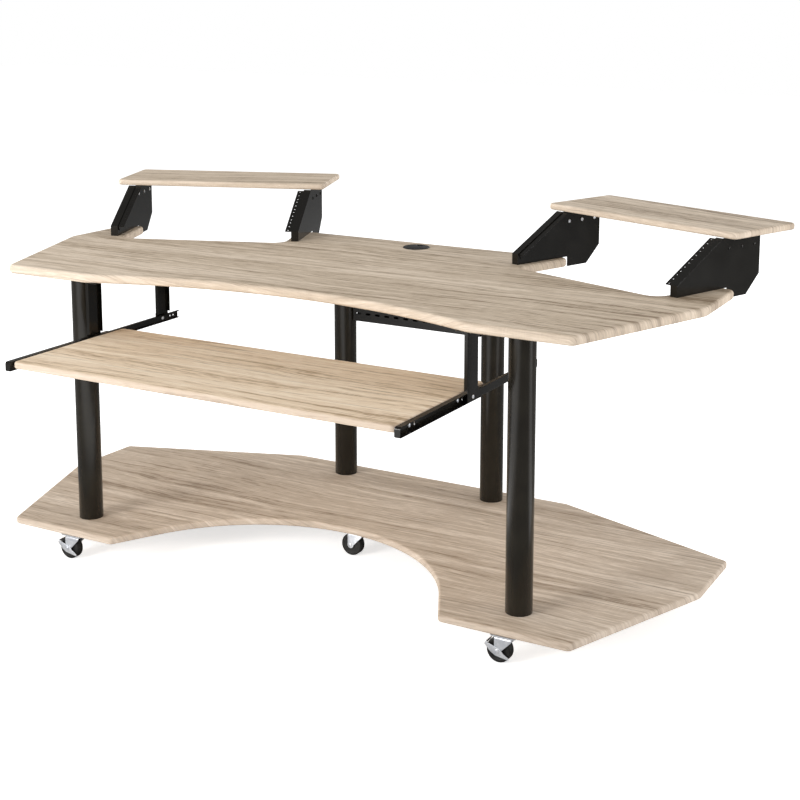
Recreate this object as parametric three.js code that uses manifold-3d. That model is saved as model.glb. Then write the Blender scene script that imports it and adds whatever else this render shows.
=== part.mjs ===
// A studio desk on castors: a winged desktop over a base board of the same outline, joined by four round
// tubes, with a keyboard tray that slides forward on runners and two sloping 19-inch racks with shelves.
// Millimetres. X runs along the desk, Y towards its back and Z up. X is zero on its plane of symmetry.
import * as THREE from 'three';
import { mergeVertices } from 'three/addons/utils/BufferGeometryUtils.js';
import Module from 'manifold-3d';

const wasm = await Module();
wasm.setup();

// Driving dimensions of the boards
const desktopHeight = 735;
const desktopThickness = 22;
const baseTopHeight = 84;
const baseThickness = 18;
const boardThickness = 16;
const desktopEdgeRadius = 7;
const boardEdgeRadius = 5.5;

// The shared outline of desktop and base: half sizes across, places along Y
const wingHalfWidth = 900;
const wingRearInset = 8;
const frontCornerInset = 143;
const frontEdgeY = -415;
const wingWidestY = -20;
const rearEdgeY = 362;
const frontCornerRadius = 18;
const wingCornerRadius = 45;
const rearCornerRadius = 16;

// The base board stands out a little beyond the desktop's outline, with tighter corners
const baseMargin = 6;
const baseFrontCornerRadius = 14;
const baseRearCornerRadius = 11;

// The hollow front edges
const desktopArcRadius = 1360;
const desktopArcCrestY = -315;
const desktopArcEndRadius = 90;
const baseArcShare = 0.978;
const baseArcCrestY = -66;
const baseFootInset = 302;
const baseFootRadius = 12;

// Legs
const legRadius = 30;
const legWall = 2;
const legEndPlate = 4;
const frontLegInset = 157;
const frontLegSetback = 95;
const rearLegSideInset = 186.3;
const rearLegInset = 61;
const boltRadius = 4;
const boltHeadRadius = 9;
const boltHeadHeight = 5;
const boltGrip = 6;
const studDepth = 13;

// The crossbar between the rear legs
const crossbarDrop = 217;
const crossbarHeight = 44;
const crossbarDepth = 22;
const crossbarSheet = 2;
const crossbarSlotPitch = 29;
const crossbarSlotLength = 15;
const crossbarSlotHeight = 6;

// Keyboard tray, its runners and the brackets that hang it, drawn with the tray pulled out
const trayLegInset = 99;
const trayDepth = 387;
const trayDrop = 154.5;
const trayFrontY = -682;
const trayTravel = 280;
const trayCornerRadius = 14;
const runnerLength = 350;
const runnerProud = 7;
const runnerRise = 0.5;
const runnerSheet = 1.5;
const runnerSpace = 14;
const movingRunnerHeight = 22.5;
const fixedRunnerLip = 8;
const runnerNoseRadius = 6;
const runnerHoleRadius = 2.4;
const runnerSlotHeight = 11;
const runnerSlotWidth = 4.5;
const runnerHoleInset = 57;
const runnerSlotInset = 79;
const runnerFixingPitch = 205;
const fixedHoleInset = 18;
const fixedHolePitch = 13;
const bracketDepth = 49;
const bracketFlange = 9;
const bracketSheet = 2;
const bracketFoot = 32;
const bracketRearInset = 38;
const bracketLift = 4;
const bracketScrewRadius = 2.5;

// Cable grommet in the desktop
const grommetInset = 67;
const grommetHoleRadius = 30;
const grommetFlangeRadius = 35;
const grommetFlangeHeight = 2.4;
const grommetSleeveDepth = 18;
const grommetWall = 2.2;
const grommetLedge = 2.5;
const grommetCapHeight = 3;
const grommetSlotWidth = 16;
const grommetSlotDepth = 15;

// The 19-inch racks, turned in towards the middle of the desk
const rackUnitHeight = 44.45;
const rackUnits = 4;
const rackOpening = 450;
const rackEarWidth = 16.3;
const rackHoleInset = 7.55;
const rackHoleRadius = 2.6;
const rackWingInset = 118.069;
const rackRearInset = 170.318;
const rackToeIn = THREE.MathUtils.degToRad(20);
const rackSlope = THREE.MathUtils.degToRad(30);
const notchFrontT = -23;
const notchCornerRadius = 34;
const noseHeight = 27;
const plateDepth = 293;
const plateRearLowZ = 20;
const plateHookGap = 5.8;
const plateHookDrop = 3;
const plateChamferT = 246;
const plateSheet = 2;
const plateFlange = 20;
const plateScrewRadius = 3;
const plateScrewDrop = 26;
const plateScrewPitch = 46;
const plateScrews = 3;
const railReach = 17;
const railSheet = 2;
const railSideDepth = 14;
const railEndMargin = 2;
const shelfOverhang = 33.7;
const shelfDepth = 228;
const shelfSetback = 2;
const shelfCornerRadius = 14;

// Castors, all turned the same way, with the wheel trailing towards -X
const frontCasterInset = 160;
const frontCasterLead = 3;
const frontCasterSetback = 18;
const middleCasterSetback = 39;
const rearCasterInset = 252;
const rearCasterSetback = 172;
const wheelRadius = 28;
const wheelWidth = 22;
const wheelHubRadius = 8;
const wheelTrail = 14;
const axleRadius = 3;
const axleHeadRadius = 5.5;
const axleHeadHeight = 1.6;
const forkSheet = 2;
const forkEyeRadius = 8;
const forkReach = 19;
const forkShoulder = 5;
const forkBendRadius = 5;
const wheelTopGap = 1.5;
const plateLength = 60;
const plateBreadth = 46;
const plateThickness = 2.5;
const plateCornerRadius = 6;
const plateHoleRadius = 3;
const plateHoleInset = 8;
const racewayRadius = 18;
const kingpinRadius = 5;
const kingpinHeadRadius = 7.5;
const kingpinHeadHeight = 1.5;
const brakeSheet = 1.8;
const pedalLength = 9;
const pedalGap = 2.5;
const pedalAngle = THREE.MathUtils.degToRad(152);
const brakeArmShares = [
  [0.89, -0.51], [0.91, -0.38], [0.43, -0.08], [0.23, 0.2], [-0.2, 0.31], [-0.72, 0.5], [-0.86, 0.62],
  [-1, 0.37], [-0.93, 0.3], [-0.56, -0.08], [-0.16, -0.33], [0.26, -0.41],
];

// Clearances
const touchGap = 0.3;
const slideGap = 0.5;
const holeGap = 0.5;
const cutOverrun = 2;

// Smoothness: straight steps in each kind of curve
const cornerSteps = 3;
const foldSteps = 2;
const foldRadius = 7;
const arcSteps = 8;
const edgeSteps = 2;
const legSides = 20;
const smallSides = 6;
const grommetSides = 24;
const wheelSides = 16;
const swivelSides = 8;

// Sizes that follow
const wingRearHalfWidth = wingHalfWidth - wingRearInset;
const frontHalfWidth = wingHalfWidth - frontCornerInset;
const frontLegX = frontHalfWidth - frontLegInset;
const frontLegY = frontEdgeY + frontLegSetback;
const trayHalfWidth = frontLegX - trayLegInset;
const rearLegY = rearEdgeY - rearLegInset;
const crossbarBottomZ = desktopHeight - crossbarDrop;
const trayTopZ = desktopHeight - trayDrop;
const grommetY = rearEdgeY - grommetInset;
const notchHalfWidth = rackOpening / 2;
const rackX = wingRearHalfWidth - rackWingInset - notchHalfWidth * Math.cos(rackToeIn);
const rackY = rearEdgeY - notchHalfWidth * Math.sin(rackToeIn) - rackRearInset * Math.cos(rackToeIn);
const rearHalfWidth = rackX - notchHalfWidth * Math.cos(rackToeIn) + rackRearInset * Math.sin(rackToeIn);
const plateHookT = rackRearInset + plateHookGap;
const rearLegX = rearHalfWidth - rearLegSideInset;
const baseFootHalfWidth = frontHalfWidth - baseFootInset;
const baseArcRadius = baseFootHalfWidth * baseArcShare;
const frontCasterX = frontHalfWidth - frontCasterInset;
const frontCasterY = frontEdgeY + frontCasterSetback;
const rearCasterX = wingRearHalfWidth - rearCasterInset;
const rearCasterY = rearEdgeY - rearCasterSetback;
const casterPlaces = [
  { name: 'caster_front_left', x: -frontCasterX - frontCasterLead, y: frontCasterY, brake: true },
  { name: 'caster_front_right', x: frontCasterX - frontCasterLead, y: frontCasterY, brake: true },
  { name: 'caster_middle', x: 0, y: baseArcCrestY + middleCasterSetback, brake: false },
  { name: 'caster_rear_left', x: -rearCasterX, y: rearCasterY, brake: false },
  { name: 'caster_rear_right', x: rearCasterX, y: rearCasterY, brake: false },
];
const desktopUnderside = desktopHeight - desktopThickness;
const baseUnderside = baseTopHeight - baseThickness;
const slopeLength = rackUnitHeight * rackUnits + railEndMargin;
const slopeRun = slopeLength * Math.cos(rackSlope);
const plateHeight = noseHeight + slopeLength * Math.sin(rackSlope);
const flangeInnerW = notchHalfWidth + rackEarWidth + railEndMargin / 2;
const shelfWidth = 2 * (flangeInnerW + plateFlange + shelfOverhang);
const rackHoleStepShares = [1 / 7, 1 / 2, 6 / 7];

const woodTop = { color: 0xc4b398, roughness: 0.55, metalness: 0 };
const woodTray = { color: 0xcbb592, roughness: 0.55, metalness: 0 };
const blackSteel = { color: 0x26231f, roughness: 0.42, metalness: 0.2 };
const zincSteel = { color: 0xb4b8be, roughness: 0.3, metalness: 0.9 };
const blackPlastic = { color: 0x1c1b1a, roughness: 0.5, metalness: 0 };
const blackRubber = { color: 0x22201e, roughness: 0.6, metalness: 0 };

// Solids from geometries, and back
function solidOf(geometry) {
  const bare = geometry.clone();
  bare.deleteAttribute('normal');
  bare.deleteAttribute('uv');
  const merged = mergeVertices(bare);
  return new wasm.Manifold(new wasm.Mesh({
    numProp: 3,
    vertProperties: Float32Array.from(merged.attributes.position.array),
    triVerts: Uint32Array.from(merged.index.array),
  }));
}

function geometryOf(solid) {
  const mesh = solid.getMesh();
  const geometry = new THREE.BufferGeometry();
  geometry.setAttribute('position', new THREE.BufferAttribute(Float32Array.from(mesh.vertProperties), 3));
  geometry.setIndex(new THREE.BufferAttribute(Uint32Array.from(mesh.triVerts), 1));
  geometry.computeVertexNormals();
  return geometry;
}

// The corner radius of a faceted hole in which a round pin turns clear of the flats
const clearing = (pinRadius, count) => (pinRadius + touchGap) / Math.cos(Math.PI / count);

const cut = (body, tools) => tools.reduce((left, tool) => left.subtract(tool), body);
const join = (pieces) => pieces.reduce((whole, piece) => whole.add(piece));

// The three ways in which a flat outline is drawn out: its own axes, then the direction of the draw
const drawBases = {
  x: [new THREE.Vector3(0, 1, 0), new THREE.Vector3(0, 0, 1), new THREE.Vector3(1, 0, 0)],
  y: [new THREE.Vector3(1, 0, 0), new THREE.Vector3(0, 0, 1), new THREE.Vector3(0, -1, 0)],
  z: [new THREE.Vector3(1, 0, 0), new THREE.Vector3(0, 1, 0), new THREE.Vector3(0, 0, 1)],
};

// An outline drawn out along an axis, from one place on that axis to another
function prism(outline, axis, from, to) {
  const geometry = new THREE.ExtrudeGeometry(new THREE.Shape(outline), {
    depth: to - from, bevelEnabled: false, steps: 1,
  });
  geometry.applyMatrix4(new THREE.Matrix4().makeBasis(...drawBases[axis]));
  const start = { x: [from, 0, 0], y: [0, to, 0], z: [0, 0, from] }[axis];
  geometry.translate(...start);
  return solidOf(geometry);
}

// A board with rounded-over edges, its underside at one height and its top at another
function board(outline, bottom, top, edge) {
  const geometry = new THREE.ExtrudeGeometry(new THREE.Shape(outline), {
    depth: top - bottom - 2 * edge,
    bevelEnabled: true,
    bevelThickness: edge,
    bevelSize: edge,
    bevelOffset: -edge,
    bevelSegments: edgeSteps,
    steps: 1,
  });
  geometry.translate(0, 0, bottom + edge);
  return solidOf(geometry);
}

// A profile of [radius, height] pairs, run anticlockwise, turned about Z or Y
function turned(profile, axis, sides) {
  const loop = [...profile, profile[0]].map(([radius, height]) => new THREE.Vector2(radius, height));
  const geometry = new THREE.LatheGeometry(loop, sides);
  if (axis === 'z') geometry.rotateX(Math.PI / 2);
  return solidOf(geometry);
}

// A plain round bar along an axis, for pins and for holes
function bar(radius, axis, from, to, sides, centre = [0, 0]) {
  const geometry = new THREE.CylinderGeometry(radius, radius, to - from, sides);
  const middle = (from + to) / 2;
  if (axis === 'x') geometry.rotateZ(-Math.PI / 2);
  if (axis === 'z') geometry.rotateX(Math.PI / 2);
  const [a, b] = centre;
  geometry.translate(...{ x: [middle, a, b], y: [a, middle, b], z: [a, b, middle] }[axis]);
  return solidOf(geometry);
}

const rectangle = (x0, x1, y0, y1) => [
  new THREE.Vector2(x0, y0), new THREE.Vector2(x1, y0), new THREE.Vector2(x1, y1), new THREE.Vector2(x0, y1),
];

// Corners of [x, y, radius] joined by straight lines, each rounded by its radius
function rounded(corners) {
  const count = corners.length;
  return corners.flatMap(([x, y, radius], index) => {
    const at = new THREE.Vector2(x, y);
    if (!radius) return [at];
    const before = new THREE.Vector2(...corners[(index + count - 1) % count]).sub(at).normalize();
    const after = new THREE.Vector2(...corners[(index + 1) % count]).sub(at).normalize();
    const half = Math.acos(THREE.MathUtils.clamp(before.dot(after), -1, 1)) / 2;
    const middle = before.clone().add(after).normalize().multiplyScalar(radius / Math.sin(half)).add(at);
    const reach = radius / Math.tan(half);
    const start = before.multiplyScalar(reach).add(at).sub(middle);
    const end = after.multiplyScalar(reach).add(at).sub(middle);
    const sweep = (Math.PI - 2 * half) * Math.sign(start.cross(end));
    const steps = radius > foldRadius ? cornerSteps : foldSteps;
    return Array.from({ length: steps + 1 }, (_, step) => (
      start.clone().rotateAround(new THREE.Vector2(), sweep * step / steps).add(middle)));
  });
}

// A slot with round ends, lying along its outline's first axis
const slot = (x, y, length, width) => rounded(
  rectangle(x - length / 2, x + length / 2, y - width / 2, y + width / 2).map((corner) => (
    [...corner, width / 2 - touchGap])));

const desk = new THREE.Group();

function place(name, solid, look, parent = desk) {
  const mesh = new THREE.Mesh(geometryOf(solid), new THREE.MeshStandardMaterial(look));
  mesh.name = name;
  parent.add(mesh);
  return mesh;
}

const sides = [{ name: 'left', sign: -1 }, { name: 'right', sign: 1 }];

// Places across (w) and back (t) in the right-hand rack, as corners of the desk
function rackCorner(w, t, radius) {
  const across = Math.cos(rackToeIn);
  const back = Math.sin(rackToeIn);
  return [rackX + w * across + t * back, rackY - w * back + t * across, radius];
}

// A whole outline from its right half, which runs from the front centre round to the rear centre
function mirrored(half) {
  const left = half.filter(([x]) => x > 0).reverse().map(([x, y, radius]) => [-x, y, radius]);
  return rounded([...half, ...left]);
}

// The arc of a hollow front edge, from its crest on the centre line out to a half width
function hollowArc(crestY, radius, halfWidth) {
  const sweep = Math.asin(halfWidth / radius);
  return Array.from({ length: arcSteps }, (_, step) => {
    const angle = sweep * step / arcSteps;
    return [radius * Math.sin(angle), crestY - radius * (1 - Math.cos(angle)), 0];
  });
}

const wingFront = [
  [frontHalfWidth, frontEdgeY, frontCornerRadius],
  [wingHalfWidth, wingWidestY, wingCornerRadius],
];
const wingRearY = rearEdgeY - (wingRearHalfWidth - rearHalfWidth) * Math.tan(rackToeIn);
const wingRear = [wingRearHalfWidth, wingRearY, rearCornerRadius];

const legPlaces = sides.flatMap(({ name, sign }) => [
  { name: `front_${name}`, x: sign * frontLegX, y: frontLegY },
  { name: `rear_${name}`, x: sign * rearLegX, y: rearLegY },
]);

// Base board: the hollow front runs down two tangent flanks to its feet
function buildBaseBoard() {
  const frontY = frontEdgeY - baseMargin;
  const slantShift = baseMargin * (1 / Math.cos(rackToeIn) - Math.tan(rackToeIn));
  const centreY = baseArcCrestY - baseArcRadius;
  const footRise = frontY - centreY;
  const footDistance = Math.hypot(baseFootHalfWidth, footRise);
  const tangentAngle = Math.atan2(baseFootHalfWidth, footRise) - Math.acos(baseArcRadius / footDistance);
  const outline = mirrored([
    ...hollowArc(baseArcCrestY, baseArcRadius, baseArcRadius * Math.sin(tangentAngle)),
    [baseArcRadius * Math.sin(tangentAngle), centreY + baseArcRadius * Math.cos(tangentAngle), 0],
    [baseFootHalfWidth, frontY, baseFootRadius],
    [frontHalfWidth + baseMargin, frontY, baseFrontCornerRadius],
    [wingHalfWidth + baseMargin, wingWidestY, wingCornerRadius],
    [wingRearHalfWidth + baseMargin, wingRearY + slantShift, baseRearCornerRadius],
    [rearHalfWidth + baseMargin * Math.tan(rackToeIn / 2), rearEdgeY + baseMargin, baseRearCornerRadius],
  ]);
  const bolts = legPlaces.map(({ x, y }) => bar(
    boltRadius + holeGap, 'z', baseUnderside - cutOverrun, baseTopHeight + cutOverrun, smallSides, [x, y]));
  place('base_board', cut(board(outline, baseUnderside, baseTopHeight, boardEdgeRadius), bolts), woodTop);
}

// Desktop: a shallow hollow front, and a notch for each rack at the rear
function buildDesktopBoard() {
  const drop = desktopArcCrestY - frontEdgeY;
  const arcHalfWidth = Math.sqrt(2 * desktopArcRadius * drop - drop ** 2);
  const outline = mirrored([
    ...hollowArc(desktopArcCrestY, desktopArcRadius, arcHalfWidth),
    [arcHalfWidth, frontEdgeY, desktopArcEndRadius],
    ...wingFront, wingRear,
    rackCorner(notchHalfWidth, rackRearInset, rearCornerRadius),
    rackCorner(notchHalfWidth, notchFrontT, notchCornerRadius),
    rackCorner(-notchHalfWidth, notchFrontT, notchCornerRadius),
    rackCorner(-notchHalfWidth, rackRearInset, rearCornerRadius),
  ]);
  const studs = legPlaces.map(({ x, y }) => bar(
    boltRadius + touchGap, 'z', desktopUnderside - cutOverrun, desktopUnderside + studDepth + touchGap,
    smallSides, [x, y]));
  const cable = bar(grommetHoleRadius, 'z', desktopUnderside - cutOverrun, desktopHeight + cutOverrun,
    grommetSides, [0, grommetY]);
  const body = board(outline, desktopUnderside, desktopHeight, desktopEdgeRadius);
  place('desktop_board', cut(body, [...studs, cable]), woodTop);
}

// A leg is a tube with a welded plate in each end; a bolt holds its foot and a stud its head
function buildLegs() {
  const bore = legRadius - legWall;
  const hole = boltRadius + holeGap;
  const profile = [
    [hole, baseTopHeight], [legRadius, baseTopHeight], [legRadius, desktopUnderside],
    [hole, desktopUnderside], [hole, desktopUnderside - legEndPlate],
    [bore, desktopUnderside - legEndPlate], [bore, baseTopHeight + legEndPlate],
    [hole, baseTopHeight + legEndPlate],
  ];
  const headZ = baseUnderside - boltHeadHeight;
  const boltTop = baseTopHeight + legEndPlate + boltGrip;
  const bolt = [[0, headZ], [boltHeadRadius, headZ], [boltHeadRadius, baseUnderside],
    [boltRadius, baseUnderside], [boltRadius, boltTop], [0, boltTop]];
  for (const { name, x, y } of legPlaces) {
    place(`leg_${name}`, turned(profile, 'z', legSides), blackSteel).position.set(x, y, 0);
    place(`leg_bolt_${name}`, turned(bolt, 'z', smallSides), zincSteel).position.set(x, y, 0);
    const stud = bar(boltRadius, 'z', desktopUnderside - legEndPlate - boltGrip,
      desktopUnderside + studDepth, smallSides);
    place(`leg_stud_${name}`, stud, zincSteel).position.set(x, y, 0);
  }
}

// Crossbar: a closed tube with slots in its front wall, its ends cut to the round of the legs
function buildCrossbar() {
  const top = crossbarBottomZ + crossbarHeight;
  const frontY = rearLegY - crossbarDepth / 2;
  const outside = rectangle(frontY, frontY + crossbarDepth, crossbarBottomZ, top)
    .map((corner) => [...corner, crossbarSheet]);
  const tube = prism(rounded(outside), 'x', -rearLegX, rearLegX);
  const bore = prism(rectangle(frontY + crossbarSheet, frontY + crossbarDepth - crossbarSheet,
    crossbarBottomZ + crossbarSheet, top - crossbarSheet), 'x', -rearLegX, rearLegX);
  const free = rearLegX - legRadius - crossbarSlotLength;
  const steps = Math.floor(free / crossbarSlotPitch);
  const slots = Array.from({ length: 2 * steps + 1 }, (_, index) => prism(
    slot((index - steps) * crossbarSlotPitch, crossbarBottomZ + crossbarHeight / 2, crossbarSlotLength,
      crossbarSlotHeight),
    'y', frontY - cutOverrun, frontY + crossbarSheet + cutOverrun));
  const legs = sides.map(({ sign }) => bar(legRadius + touchGap, 'z', crossbarBottomZ - cutOverrun,
    top + cutOverrun, legSides, [sign * rearLegX, rearLegY]));
  place('rear_crossbar', cut(tube, [bore, ...slots, ...legs]), blackSteel);
}

const runnerFrontY = trayFrontY - runnerProud;
const runnerMidZ = trayTopZ + runnerRise - movingRunnerHeight / 2;
const fixedRunnerHeight = movingRunnerHeight - 2 * runnerSheet - 2 * slideGap;
const fixedRunnerFrontY = runnerFrontY + trayTravel;
const fixedRunnerRearY = fixedRunnerFrontY + runnerLength;

function buildTray() {
  const rear = trayFrontY + trayDepth;
  const corners = rectangle(-trayHalfWidth, trayHalfWidth, trayFrontY, rear);
  const outline = rounded(corners.map((corner) => [...corner, trayCornerRadius]));
  place('tray_board', board(outline, trayTopZ - boardThickness, trayTopZ, boardEdgeRadius), woodTray);
}

// The section of a runner: a wall and two lips that reach from it, in X and Z
function runnerSection(wallX, lipX, height) {
  const inside = wallX + Math.sign(lipX - wallX) * runnerSheet;
  const low = runnerMidZ - height / 2;
  const high = runnerMidZ + height / 2;
  return rounded([
    [wallX, low, runnerSheet], [lipX, low, 0], [lipX, low + runnerSheet, 0],
    [inside, low + runnerSheet, 0], [inside, high - runnerSheet, 0],
    [lipX, high - runnerSheet, 0], [lipX, high, 0], [wallX, high, runnerSheet],
  ]);
}

// Runners: a channel screwed to the tray's edge runs over a smaller one screwed to the brackets
function buildRunners({ name, sign }) {
  const inner = sign * trayHalfWidth;
  const outer = sign * (trayHalfWidth + runnerSpace);
  const movingRearY = runnerFrontY + runnerLength;
  const through = (x) => [x - cutOverrun, x + cutOverrun];
  const lipX = outer - sign * slideGap;
  const channel = prism(runnerSection(inner, lipX, movingRunnerHeight), 'y', runnerFrontY, movingRearY);
  const low = runnerMidZ - movingRunnerHeight / 2;
  const high = runnerMidZ + movingRunnerHeight / 2;
  const nose = prism(rounded([
    [runnerFrontY, low, runnerNoseRadius / 2], [movingRearY, low, 0],
    [movingRearY, high, 0], [runnerFrontY, high, runnerNoseRadius],
  ]), 'x', inner - runnerSpace - cutOverrun, inner + runnerSpace + cutOverrun);
  const holes = [0, runnerFixingPitch].map((along) => bar(runnerHoleRadius, 'x', ...through(inner),
    smallSides, [runnerFrontY + runnerHoleInset + along, runnerMidZ]));
  const slots = [0, runnerFixingPitch].map((along) => {
    const middle = runnerFrontY + runnerSlotInset + along;
    const corners = rectangle(middle - runnerSlotWidth / 2, middle + runnerSlotWidth / 2,
      runnerMidZ - runnerSlotHeight / 2, runnerMidZ + runnerSlotHeight / 2);
    return prism(rounded(corners.map((corner) => [...corner, runnerSheet])), 'x', ...through(inner));
  });
  place(`runner_moving_${name}`, cut(channel.intersect(nose), [...holes, ...slots]), blackSteel);

  const fixed = prism(runnerSection(outer, outer - sign * fixedRunnerLip, fixedRunnerHeight), 'y',
    fixedRunnerFrontY, fixedRunnerRearY);
  const rearHoles = [fixedHoleInset, fixedHoleInset + fixedHolePitch].map((inset) => bar(
    runnerHoleRadius, 'x', ...through(outer), smallSides, [fixedRunnerRearY - inset, runnerMidZ]));
  const screwHoles = bracketPlaces.map(({ y }) => bar(
    bracketScrewRadius, 'x', ...through(outer), smallSides, [y, runnerMidZ]));
  place(`runner_fixed_${name}`, cut(fixed, [...rearHoles, ...screwHoles]), blackSteel);
}

// Brackets: a channel hangs from a foot under the desktop, and its web runs down past the runner
const bracketPlaces = [
  { name: 'front', y: fixedRunnerFrontY + bracketDepth / 2 },
  { name: 'rear', y: fixedRunnerRearY - bracketRearInset - bracketDepth / 2 },
];

function buildBracket({ name, sign }, spot) {
  const webX = sign * (trayHalfWidth + runnerSpace);
  const outerX = webX + sign * bracketSheet;
  const flangeX = outerX - sign * bracketFlange;
  const front = spot.y - bracketDepth / 2;
  const rear = spot.y + bracketDepth / 2;
  const flangeBottom = runnerMidZ + movingRunnerHeight / 2 + bracketLift;
  const tongueBottom = runnerMidZ - fixedRunnerHeight / 2;
  const channel = prism(rounded([
    [outerX, front, bracketSheet], [outerX, rear, bracketSheet], [flangeX, rear, 0],
    [flangeX, rear - bracketSheet, 0], [webX, rear - bracketSheet, 0], [webX, front + bracketSheet, 0],
    [flangeX, front + bracketSheet, 0], [flangeX, front, 0],
  ]), 'z', flangeBottom, desktopUnderside);
  const tongue = prism(rounded([
    [front, flangeBottom + bracketSheet, 0], [front, tongueBottom, bracketSheet],
    [rear, tongueBottom, bracketSheet], [rear, flangeBottom + bracketSheet, 0],
  ]), 'x', Math.min(webX, outerX), Math.max(webX, outerX));
  const footX = outerX - sign * bracketFoot;
  const corners = rectangle(Math.min(footX, outerX), Math.max(footX, outerX), front, rear);
  const foot = prism(rounded(corners.map((corner) => [...corner, bracketSheet])), 'z',
    desktopUnderside - bracketSheet, desktopUnderside);
  const footHole = bar(bracketScrewRadius, 'z', desktopUnderside - bracketSheet - cutOverrun,
    desktopUnderside + cutOverrun, smallSides, [(footX + flangeX) / 2, spot.y]);
  const screwHole = bar(bracketScrewRadius, 'x', webX - cutOverrun - bracketSheet,
    webX + cutOverrun + bracketSheet, smallSides, [spot.y, runnerMidZ]);
  place(`tray_bracket_${spot.name}_${name}`, cut(join([channel, tongue, foot]), [footHole, screwHole]),
    blackSteel);
}

// Grommet: a flanged sleeve in the desktop and a cap that turns on its ledge
function buildGrommet() {
  const sleeveOuter = grommetHoleRadius - touchGap;
  const sleeveInner = sleeveOuter - grommetWall;
  const ledgeTop = desktopHeight + grommetFlangeHeight - grommetCapHeight;
  const bottom = desktopHeight - grommetSleeveDepth;
  const chamfer = grommetFlangeHeight / 2;
  const ring = turned([
    [sleeveInner - grommetLedge, ledgeTop - grommetLedge], [sleeveInner, ledgeTop - 2 * grommetLedge],
    [sleeveInner, bottom], [sleeveOuter, bottom], [sleeveOuter, desktopHeight],
    [grommetFlangeRadius, desktopHeight], [grommetFlangeRadius, desktopHeight + chamfer],
    [grommetFlangeRadius - chamfer, desktopHeight + grommetFlangeHeight],
    [sleeveInner, desktopHeight + grommetFlangeHeight], [sleeveInner, ledgeTop],
    [sleeveInner - grommetLedge, ledgeTop],
  ], 'z', grommetSides);
  place('grommet_ring', ring, blackPlastic).position.set(0, grommetY, 0);

  const capRadius = sleeveInner * Math.cos(Math.PI / grommetSides) - touchGap;
  const capBottom = ledgeTop + touchGap;
  const disc = bar(capRadius, 'z', capBottom, capBottom + grommetCapHeight - touchGap, grommetSides);
  const mouth = prism(rounded([
    [-grommetSlotWidth / 2, capRadius - grommetSlotDepth, grommetSlotWidth / 2 - touchGap],
    [grommetSlotWidth / 2, capRadius - grommetSlotDepth, grommetSlotWidth / 2 - touchGap],
    [grommetSlotWidth / 2, capRadius + cutOverrun, 0], [-grommetSlotWidth / 2, capRadius + cutOverrun, 0],
  ]), 'z', capBottom - cutOverrun, capBottom + grommetCapHeight + cutOverrun);
  place('grommet_cap', cut(disc, [mouth]), blackPlastic).position.set(0, grommetY, 0);
}

// A place on the sloping front of a rack plate: s along the slope, d behind its face
const slopePoint = (s, d) => [
  s * Math.cos(rackSlope) + d * Math.sin(rackSlope),
  desktopHeight + noseHeight + s * Math.sin(rackSlope) - d * Math.cos(rackSlope),
];

// Side plate: one sheet, folded along its nose, slope, top and foot, with a hook behind the desktop
function buildSidePlate(name, parent, noseW) {
  const z = (height) => desktopHeight + height;
  const hookZ = -desktopThickness - plateHookDrop;
  const web = prism(rounded([
    [0, z(0), 0], [0, z(noseHeight), 0], [slopeRun, z(plateHeight), 0], [plateDepth, z(plateHeight), 0],
    [plateDepth, z(plateRearLowZ), plateSheet], [plateChamferT, z(hookZ), plateSheet],
    [plateHookT, z(hookZ), plateSheet], [plateHookT, z(0), 0],
  ]), 'x', plateFlange - plateSheet, plateFlange);
  const crook = plateSheet * Math.tan((Math.PI / 2 - rackSlope) / 2);
  const [slopeEndT, slopeEndZ] = slopePoint(slopeLength, plateSheet);
  const front = prism([
    [0, z(0)], [0, z(noseHeight)], [slopeRun, z(plateHeight)], [slopeEndT, slopeEndZ],
    [plateSheet, z(noseHeight - crook)], [plateSheet, z(0)],
  ].map(([t, height]) => new THREE.Vector2(t, height)), 'x', 0, plateFlange);
  const top = prism(rectangle(slopeRun + plateFlange, plateDepth - plateFlange, z(plateHeight - plateSheet),
    z(plateHeight)), 'x', 0, plateFlange);
  const foot = prism(rectangle(plateFlange, plateHookT - 2 * plateFlange, z(0), z(plateSheet)), 'x', 0,
    plateFlange);
  const holes = Array.from({ length: plateScrews }, (_, index) => bar(
    plateScrewRadius, 'x', plateFlange - plateSheet - cutOverrun, plateFlange + cutOverrun, smallSides,
    [plateDepth - plateFlange - index * plateScrewPitch, z(plateHeight - plateScrewDrop)]));
  place(name, cut(join([web, front, top, foot]), holes), blackSteel, parent).position.x = noseW;
}

// Rack rail: an angle behind the slope, with three holes to each rack unit in its front leg. Where the leg
// runs on behind the plate's fold, past bareW, it is set back by a gap.
function buildRail(name, parent, fromW, bareW, toW, wallSign) {
  const start = railEndMargin;
  const end = slopeLength - railEndMargin;
  const face = plateSheet + touchGap;
  const band = (near, far, low, high) => [
    slopePoint(low, near), slopePoint(high, near), slopePoint(high, far), slopePoint(low, far),
  ].map(([t, height]) => new THREE.Vector2(t, height));
  const bare = prism(band(face, face + railSheet, start, end), 'x', fromW, bareW);
  const covered = prism(band(face + touchGap, face + railSheet + touchGap, start, end), 'x',
    bareW - railSheet, toW);
  const leg = bareW < toW ? join([bare, covered]) : bare;
  const wall = wallSign < 0 ? [fromW, fromW + railSheet] : [toW - railSheet, toW];
  const side = prism(band(face + railSheet / 2, face + railSideDepth, start, end), 'x', ...wall);
  const holes = Array.from({ length: rackUnits }, (_, unit) => unit).flatMap((unit) => (
    rackHoleStepShares.map((share) => {
      const s = railEndMargin / 2 + (unit + share) * rackUnitHeight;
      const hole = new THREE.CylinderGeometry(rackHoleRadius, rackHoleRadius, railSheet + 2 * cutOverrun,
        smallSides);
      hole.rotateX(rackSlope);
      const [t, height] = slopePoint(s, face + railSheet / 2);
      hole.translate(wallSign * (notchHalfWidth + rackHoleInset), t, height);
      return solidOf(hole);
    })));
  place(name, cut(join([leg, side]), holes), blackSteel, parent);
}

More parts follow.
